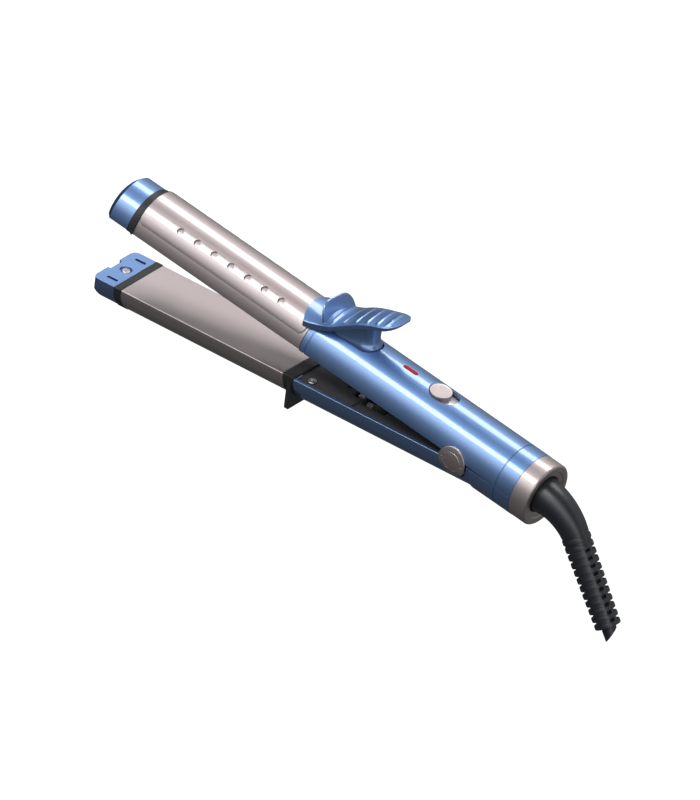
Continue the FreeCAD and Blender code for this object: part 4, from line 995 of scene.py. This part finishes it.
# %% [markdown]
# ## Pivot caps
# A round cap covers the pivot on each side and follows the handle's curve. It is a short rod that is
# cut by two cylinders, one for its face and one for its back. A thin broken ring and two small
# bumps stand on the face.


# %% Pivot caps
cap_back, cap_face, ridge_top = 17.75, 18.75, 18.9


def pivot_cap(name, side, node):
    """One cap; side is 1 or -1."""
    def across(radius, start, end, corners=96, dx=0.0):
        x = pivot_x + dx
        return rod("cap_bar", radius, (x, side * start, pivot_z), (x, side * end, pivot_z), corners)

    def round_bar(radius):
        return axle("cap_round", radius, pivot_x - 20, pivot_x + 20, 256)

    cap = across(8.4, 8, 24)
    carved(cap, round_bar(cap_face), operation="INTERSECT")
    carved(cap, round_bar(cap_back))
    softened(cap, 0.3, segments=3)
    ridge = across(5.55, 10, 24)
    carved(ridge, across(5.2, 8, 26))
    carved(ridge, round_bar(ridge_top), operation="INTERSECT")
    ridge_gap = block("ridge_gap", (pivot_x - 9, -25, pivot_z - 0.9), (pivot_x + 9, 25, pivot_z + 0.9))
    carved(ridge, round_bar(18.3), ridge_gap)
    softened(ridge, 0.08, segments=1)
    bumps = [softened(across(0.55, 17.9, ridge_top, 24, dx), 0.22) for dx in (6.4, -6.4)]
    finished(named(joined(cap, ridge, *bumps), name), "champagne", "handle", node)


left_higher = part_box("left_pivot_cap")[0].y > 0
pivot_cap("pivot_cap_far", 1, "left_pivot_cap" if left_higher else "right_pivot_cap")
pivot_cap("pivot_cap_near", -1, "right_pivot_cap" if left_higher else "left_pivot_cap")

# %% [markdown]
# ## Heat-proof ring and upper tip
# A black ring keeps the blue tip cool. It has a thin flange that meets the clamp. The tip is a
# turned cap with a steep bevel round its front; its flat underside has a screw well and two keys
# that enter slots in the lower tip when the arms shut.

# %% Upper ring
tip_rear = barrel_front - 4.2
tip_front = tip_rear - 14.7
upper_ring = half_round("upper_heat_ring", [
    (tip_rear, 0), (tip_rear, 17.8), (barrel_front - 1.0, 17.8), (barrel_front - 1.0, 18.65),
    (barrel_front, 18.65), (barrel_front, 0),
], barrel_floor)
finished(softened(upper_ring, 0.15), "blackplastic", "handle", "upper_insulator_ring")

# %% Upper tip
tip_floor, well_radius, key_place, key_half = 1.8, 3.26, 11.5, 0.6
upper_tip = half_round("upper_tip", [
    (tip_front, 0), (tip_front, 13.4), (tip_front + 0.9, 15.0), (tip_front + 3.4, barrel_radius),
    (tip_rear, barrel_radius), (tip_rear, 0),
], tip_floor)
upper_screw_x = tip_front + 8.0
well = rod("screw_well", well_radius, (upper_screw_x, 0, -5), (upper_screw_x, 0, tip_floor + 1.3), 64)
softened(carved(upper_tip, well), 0.16)
keys = []
for y in (key_place, -key_place):
    key = block("tip_key", (tip_front + 6.5, y - key_half, -2.3), (tip_front + 11.6, y + key_half, 2.2))
    keys.append(softened(key, 0.2))
finished(joined(upper_tip, *keys), "blue", "handle", "upper_tip_cap")

# %% [markdown]
# ## Lower arm
# The lower arm is drawn shut, with nought at the plate's face, and each finished piece is then
# lowered and swung open about the pivot. Its shell is a trough with a bright rounded rim and a small
# tab at each front corner, and a black foot between shell and plate ends in a fin that keeps the hot
# plate off the table. The plate is a thick flat bar on a half-round shell.


# %% Swinging a piece open
def swung(piece):
    """From the shut drawing to the open arm, with the place put into the mesh."""
    active(piece)
    opened = Matrix.Translation(pivot) @ Matrix.Rotation(-open_angle, 4, "Y") @ Matrix.Translation(-pivot)
    piece.matrix_world = opened @ Matrix.Translation((0, 0, -plate_drop * MM))
    bpy.ops.object.transform_apply()
    return piece


# %% Lower handle shell
low_shell_front, low_rim, low_radius = handle_front + 0.5, -0.4, 17.4
low_shell = half_trough("lower_shell", [
    (low_shell_front, low_radius - wall), (low_shell_front, low_radius - 0.3),
    (low_shell_front + 0.3, low_radius), (split_x - 0.3, low_radius),
    (split_x, low_radius - 0.3), (split_x, low_radius - wall),
], low_rim, closed=True)
tab_front, tab_rear = low_shell_front + 0.2, low_shell_front + 1.5
for near, far in ((10.4, 16.4), (-16.4, -10.4)):
    tab = block("front_tab", (tab_front, near, low_rim - 1.8), (tab_rear, far, low_rim))
    carved(low_shell, tab, operation="UNION")
cap_room = rod("cap_room", 9.0, (pivot_x, -30, pivot_z + plate_drop), (pivot_x, 30, pivot_z + plate_drop))
carved(cap_room, axle("cap_core", 16.7, pivot_x - 20, pivot_x + 20, 128, plate_drop / 2))
lock_x = handle_front + 32.7
carved(low_shell, cap_room, block("lock_hole", (lock_x + 0.7, -2.8, -25), (lock_x + 10.5, 2.8, -12)))
softened(low_shell, 0.38, segments=3)
finished(swung(low_shell), "blue", "lower_arm", "lower_handle_shell")

# %% Foot with its fin
foot_front = low_shell_front - 6.75
foot = half_trough("rest_foot", bar(foot_front, low_shell_front, 17.0), 0)
fin_rear, fin_half, fin_low, fin_round = low_shell_front - 1.8, 16.7, -20.0, 1.5
fin = [(-fin_half, -3)]
fin += arc(-fin_half + fin_round, fin_low + fin_round, fin_round, 180, 270, 6)
fin += arc(fin_half - fin_round, fin_low + fin_round, fin_round, 270, 360, 6)
fin += [(fin_half, -3)]
carved(foot, prism("foot_fin", [(fin_rear, y, z) for y, z in fin], (-2.3, 0, 0)), operation="UNION")
softened(foot, 0.3, segments=3)
finished(swung(foot), "blackplastic", "lower_arm", "foot_bracket")

# %% [markdown]
# ### Tray and lock
# The tray closes the lower handle. It is a copy of the measured one, with a step cut down behind the
# hooks. The lock's hooks stand up from a bar that a thumb slides from below: a broad one in front
# and a narrow one on each side behind it.

# %% Recessed tray
tray = bpy.data.objects.new("recessed_tray", frame["nodes"]["lower_tray"].data.copy())
bpy.context.scene.collection.objects.link(tray)
editing(tray)
tidy_skin(tray)
carved(tray, swung(block("tray_recess", (lock_x + 2.3, -20, low_rim - 1.9), (pivot_x - 8.5, 20, 3))))
finished(softened(tray, 0.12), "greyplastic", "lower_arm", "lower_tray")

# %% Lock hooks and their bar
hook_low, hook_high, lock_half = -7.4, -1.0, 7.0


def lock_hook(x, near, far):
    """An upright hook whose nose points back."""
    stem = block("hook_stem", (x - 1.1, near, hook_low), (x + 1.1, far, hook_high))
    nose = block("hook_nose", (x, near, hook_high - 1.6), (x + 2.5, far, hook_high))
    return softened(carved(stem, nose, operation="UNION"), 0.25, segments=3)


front_hook = lock_hook(lock_x, -3.6, 3.6)
rear_hooks = [lock_hook(lock_x + 7.8, near, far) for near, far in ((4.6, lock_half), (-lock_half, -4.6))]
hooks = named(joined(front_hook, *rear_hooks), "lock_hooks")
finished(swung(hooks), "champagne", "lock", "lock_slider")
lock_bar = block("lock_bar", (lock_x - 5, -lock_half, -8.4), (lock_x + 14, lock_half, -6.4))
lock_stem = block("lock_stem", (lock_x + 1, -2.5, -16.9), (lock_x + 7, 2.5, -8.0))
softened(carved(lock_bar, lock_stem, operation="UNION"), 0.2)
finished(swung(lock_bar), "blackplastic", "lock")

# %% [markdown]
# ### Lower plate and tip
# The plate lies on a half-round shell between the foot and a black ring. The blue tip is an outline
# with rounded corners, cut to the arm's round, with a steep nose, a notch, a screw well and two slots
# for the upper tip's keys.

# %% Lower plate and its shell
low_half, plate_thick = 17.2, 2.4     # half the plate's width, and its thickness
low_tip_rear = tip_rear - 0.2
plate_front = low_tip_rear + 4.3
low_plate = block("lower_plate_face", (plate_front, -low_half, -plate_thick), (foot_front, low_half, 0))
softened(low_plate, 0.55, segments=4)
finished(swung(low_plate), "champagne", "lower_arm", "lower_heating_plate")
back_profile = bar(plate_front, foot_front, low_half, low_half - 1.5)
plate_back = half_trough("lower_plate_back", back_profile, -plate_thick, closed=True)
finished(swung(plate_back), "champagne", "lower_arm", "lower_plate_shell")
low_ring = half_trough("lower_heat_ring", bar(low_tip_rear, plate_front, 17.5), 0)
softened(low_ring, 0.2)
finished(swung(low_ring), "blackplastic", "lower_arm", "lower_insulator_ring")

# %% Lower tip
low_tip_front, tip_round, nose_long = low_tip_rear - 13.8, 3.6, 6.6
corners = [(low_tip_rear, -low_half)]
corners += arc(low_tip_front + tip_round, -low_half + tip_round, tip_round, 270, 180, 4)
corners += [(low_tip_front, -5.3), (low_tip_front, 5.3)]
corners += arc(low_tip_front + tip_round, low_half - tip_round, tip_round, 180, 90, 4)
corners += [(low_tip_rear, low_half)]
low_tip = prism("lower_tip", [(x, y, -18) for x, y in corners], (0, 0, 18))
carved(low_tip, axle("tip_round", low_half, low_tip_front - 5, low_tip_rear + 5), operation="INTERSECT")
quarter = [math.radians(90 * n / 14) for n in range(15)]
nose = [(-2, -22), (-2, -1.0)]
nose += [(nose_long * (1 - math.cos(a)), -1.0 - 16.8 * math.sin(a)) for a in quarter]
nose += [(nose_long, -22)]
low_nose = prism("tip_nose", [(low_tip_front + x, -30, z) for x, z in nose], (0, 60, 0))
notch = [(-2, -5.6), (1.7, -4.3), (1.7, 4.3), (-2, 5.6)]
low_notch = prism("tip_notch", [(low_tip_front + x, y, -3) for x, y in notch], (0, 0, 6))
slot_half = key_half + 0.3
slots = [
    block("tip_slot", (low_tip_front + 5.2, y - slot_half, -3), (low_tip_front + 11.5, y + slot_half, 2))
    for y in (key_place, -key_place)
]
low_screw_x = low_tip_front + 8.0
low_well = rod("screw_well", well_radius, (low_screw_x, 0, -1.5), (low_screw_x, 0, 4), 64)
carved(low_tip, low_nose, low_notch, *slots, low_well)
softened(low_tip, 0.16)
finished(swung(low_tip), "blue", "lower_arm", "lower_tip_cap")

# %% [markdown]
# ## Screws
# All the screws are one pan head with a cross recess, so a single one is modelled, pointing up, and
# copied to every place. The head starts as a short cylinder; its top edge is bevelled into a dome,
# the cross is cut out, and a shank is joined on.

# %% The pattern screw
pattern = rod("pattern_screw", 2.4, (0, 0, -1.1), (0, 0, 0), 48)
softened(pattern, 0.55, angle=50, segments=4)
for long, wide in ((1.5, 0.32), (0.32, 1.5)):
    carved(pattern, block("cross_cut", (-long, -wide, -0.65), (long, wide, 1)))
softened(pattern, 0.05, segments=1)
pattern = joined(pattern, rod("screw_shank", 1.1, (0, 0, -6), (0, 0, -1.0), 24))


def screws(name, node, body, height, places, up=1, opened=False):
    """Joined copies of the pattern screw at (x, y, twist); up is -1 for heads that look down."""
    copies = []
    for count, (x, y, twist) in enumerate(places):
        twin = copied(pattern, "%s_%d" % (name, count))
        turn = Matrix.Rotation(math.radians(twist), 4, "Z")
        if up < 0:
            turn = Matrix.Rotation(math.pi, 4, "X") @ turn
        twin.matrix_world = Matrix.Translation(here(x, y, height)) @ turn @ Matrix.Translation(-home)
        active(twin)
        bpy.ops.object.transform_apply()
        copies.append(twin)
    group = named(joined(*copies) if len(copies) > 1 else copies[0], name)
    if opened:
        swung(group)
    finished(group, "steel", body, node)


# %% Place the screws
tray_screw_x = handle_front + 7.8
screws("tip_screw_upper", "upper_tip_screw", "handle", 1.95, [(upper_screw_x, 0, 20)], up=-1)
screws("tip_screw_lower", "lower_tip_screw", "lower_arm", -0.3, [(low_screw_x, 0, 35)], opened=True)
screws("tray_screws_steel", "tray_screws", "lower_arm", -0.35, [
    (tray_screw_x, 10.9, 10), (tray_screw_x, -10.9, 50), (-74, 5, 25), (-74, -5, 70),
], opened=True)
screws("cover_screws_steel", "cover_screws", "handle", 1.25, [
    (lens_x - 9, 10, 15), (lens_x - 9, -10, 60), (-50.9, 10, 35), (-50.9, -10, 80),
], up=-1)
screws("rear_shell_screws_steel", "rear_shell_screws", "handle", -12.75, [
    (boss_x, 8, 25), (boss_x, -8, 65),
], up=-1)
bpy.data.objects.remove(pattern)

# %% [markdown]
# ## Springs
# One spring under the pivot's front pushes the arms apart and a smaller one lifts the lever's
# paddle. Each is a wire circle that a Screw modifier winds round the spring's axis.


# %% Springs
def coil(name, node, radius, wire, turns):
    """A wound wire that fills its measured part's height."""
    low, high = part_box(node)
    axis = (low + high) / 2
    bpy.ops.object.select_all(action="DESELECT")
    bpy.ops.mesh.primitive_circle_add(
        vertices=14, radius=wire / 2 * MM, location=(axis.x, axis.y, low.z), rotation=(math.pi / 2, 0, 0),
    )
    spring = named(bpy.context.object, name)
    bpy.ops.object.transform_apply(location=False, rotation=True, scale=True)
    editing(spring)
    bpy.ops.transform.translate(value=(radius * MM, 0, wire / 2 * MM))
    bpy.ops.object.mode_set(mode="OBJECT")
    rise = ((high.z - low.z) - wire * MM) / turns
    modified(spring, "SCREW", steps=36, render_steps=36, iterations=turns, screw_offset=rise)
    bpy.ops.object.transform_apply()
    editing(spring)
    bpy.ops.mesh.fill_holes(sides=20)
    return finished(tidy_skin(spring), "steel", "handle", node, angle=50)


arm_coil = coil("arm_opening_spring", "arm_spring", 3.9, 0.9, 4)
arm_low, arm_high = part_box("arm_spring")
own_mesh(arm_coil)
lever_coil = coil("lever_return_spring", "lever_spring", 3.2, 0.7, 5)
lever_low, lever_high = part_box("lever_spring")
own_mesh(lever_coil)
for low, high in ((arm_low, arm_high), (lever_low, lever_high)):
    print("a spring stands", round((high.z - low.z) / MM, 2), "mm high")
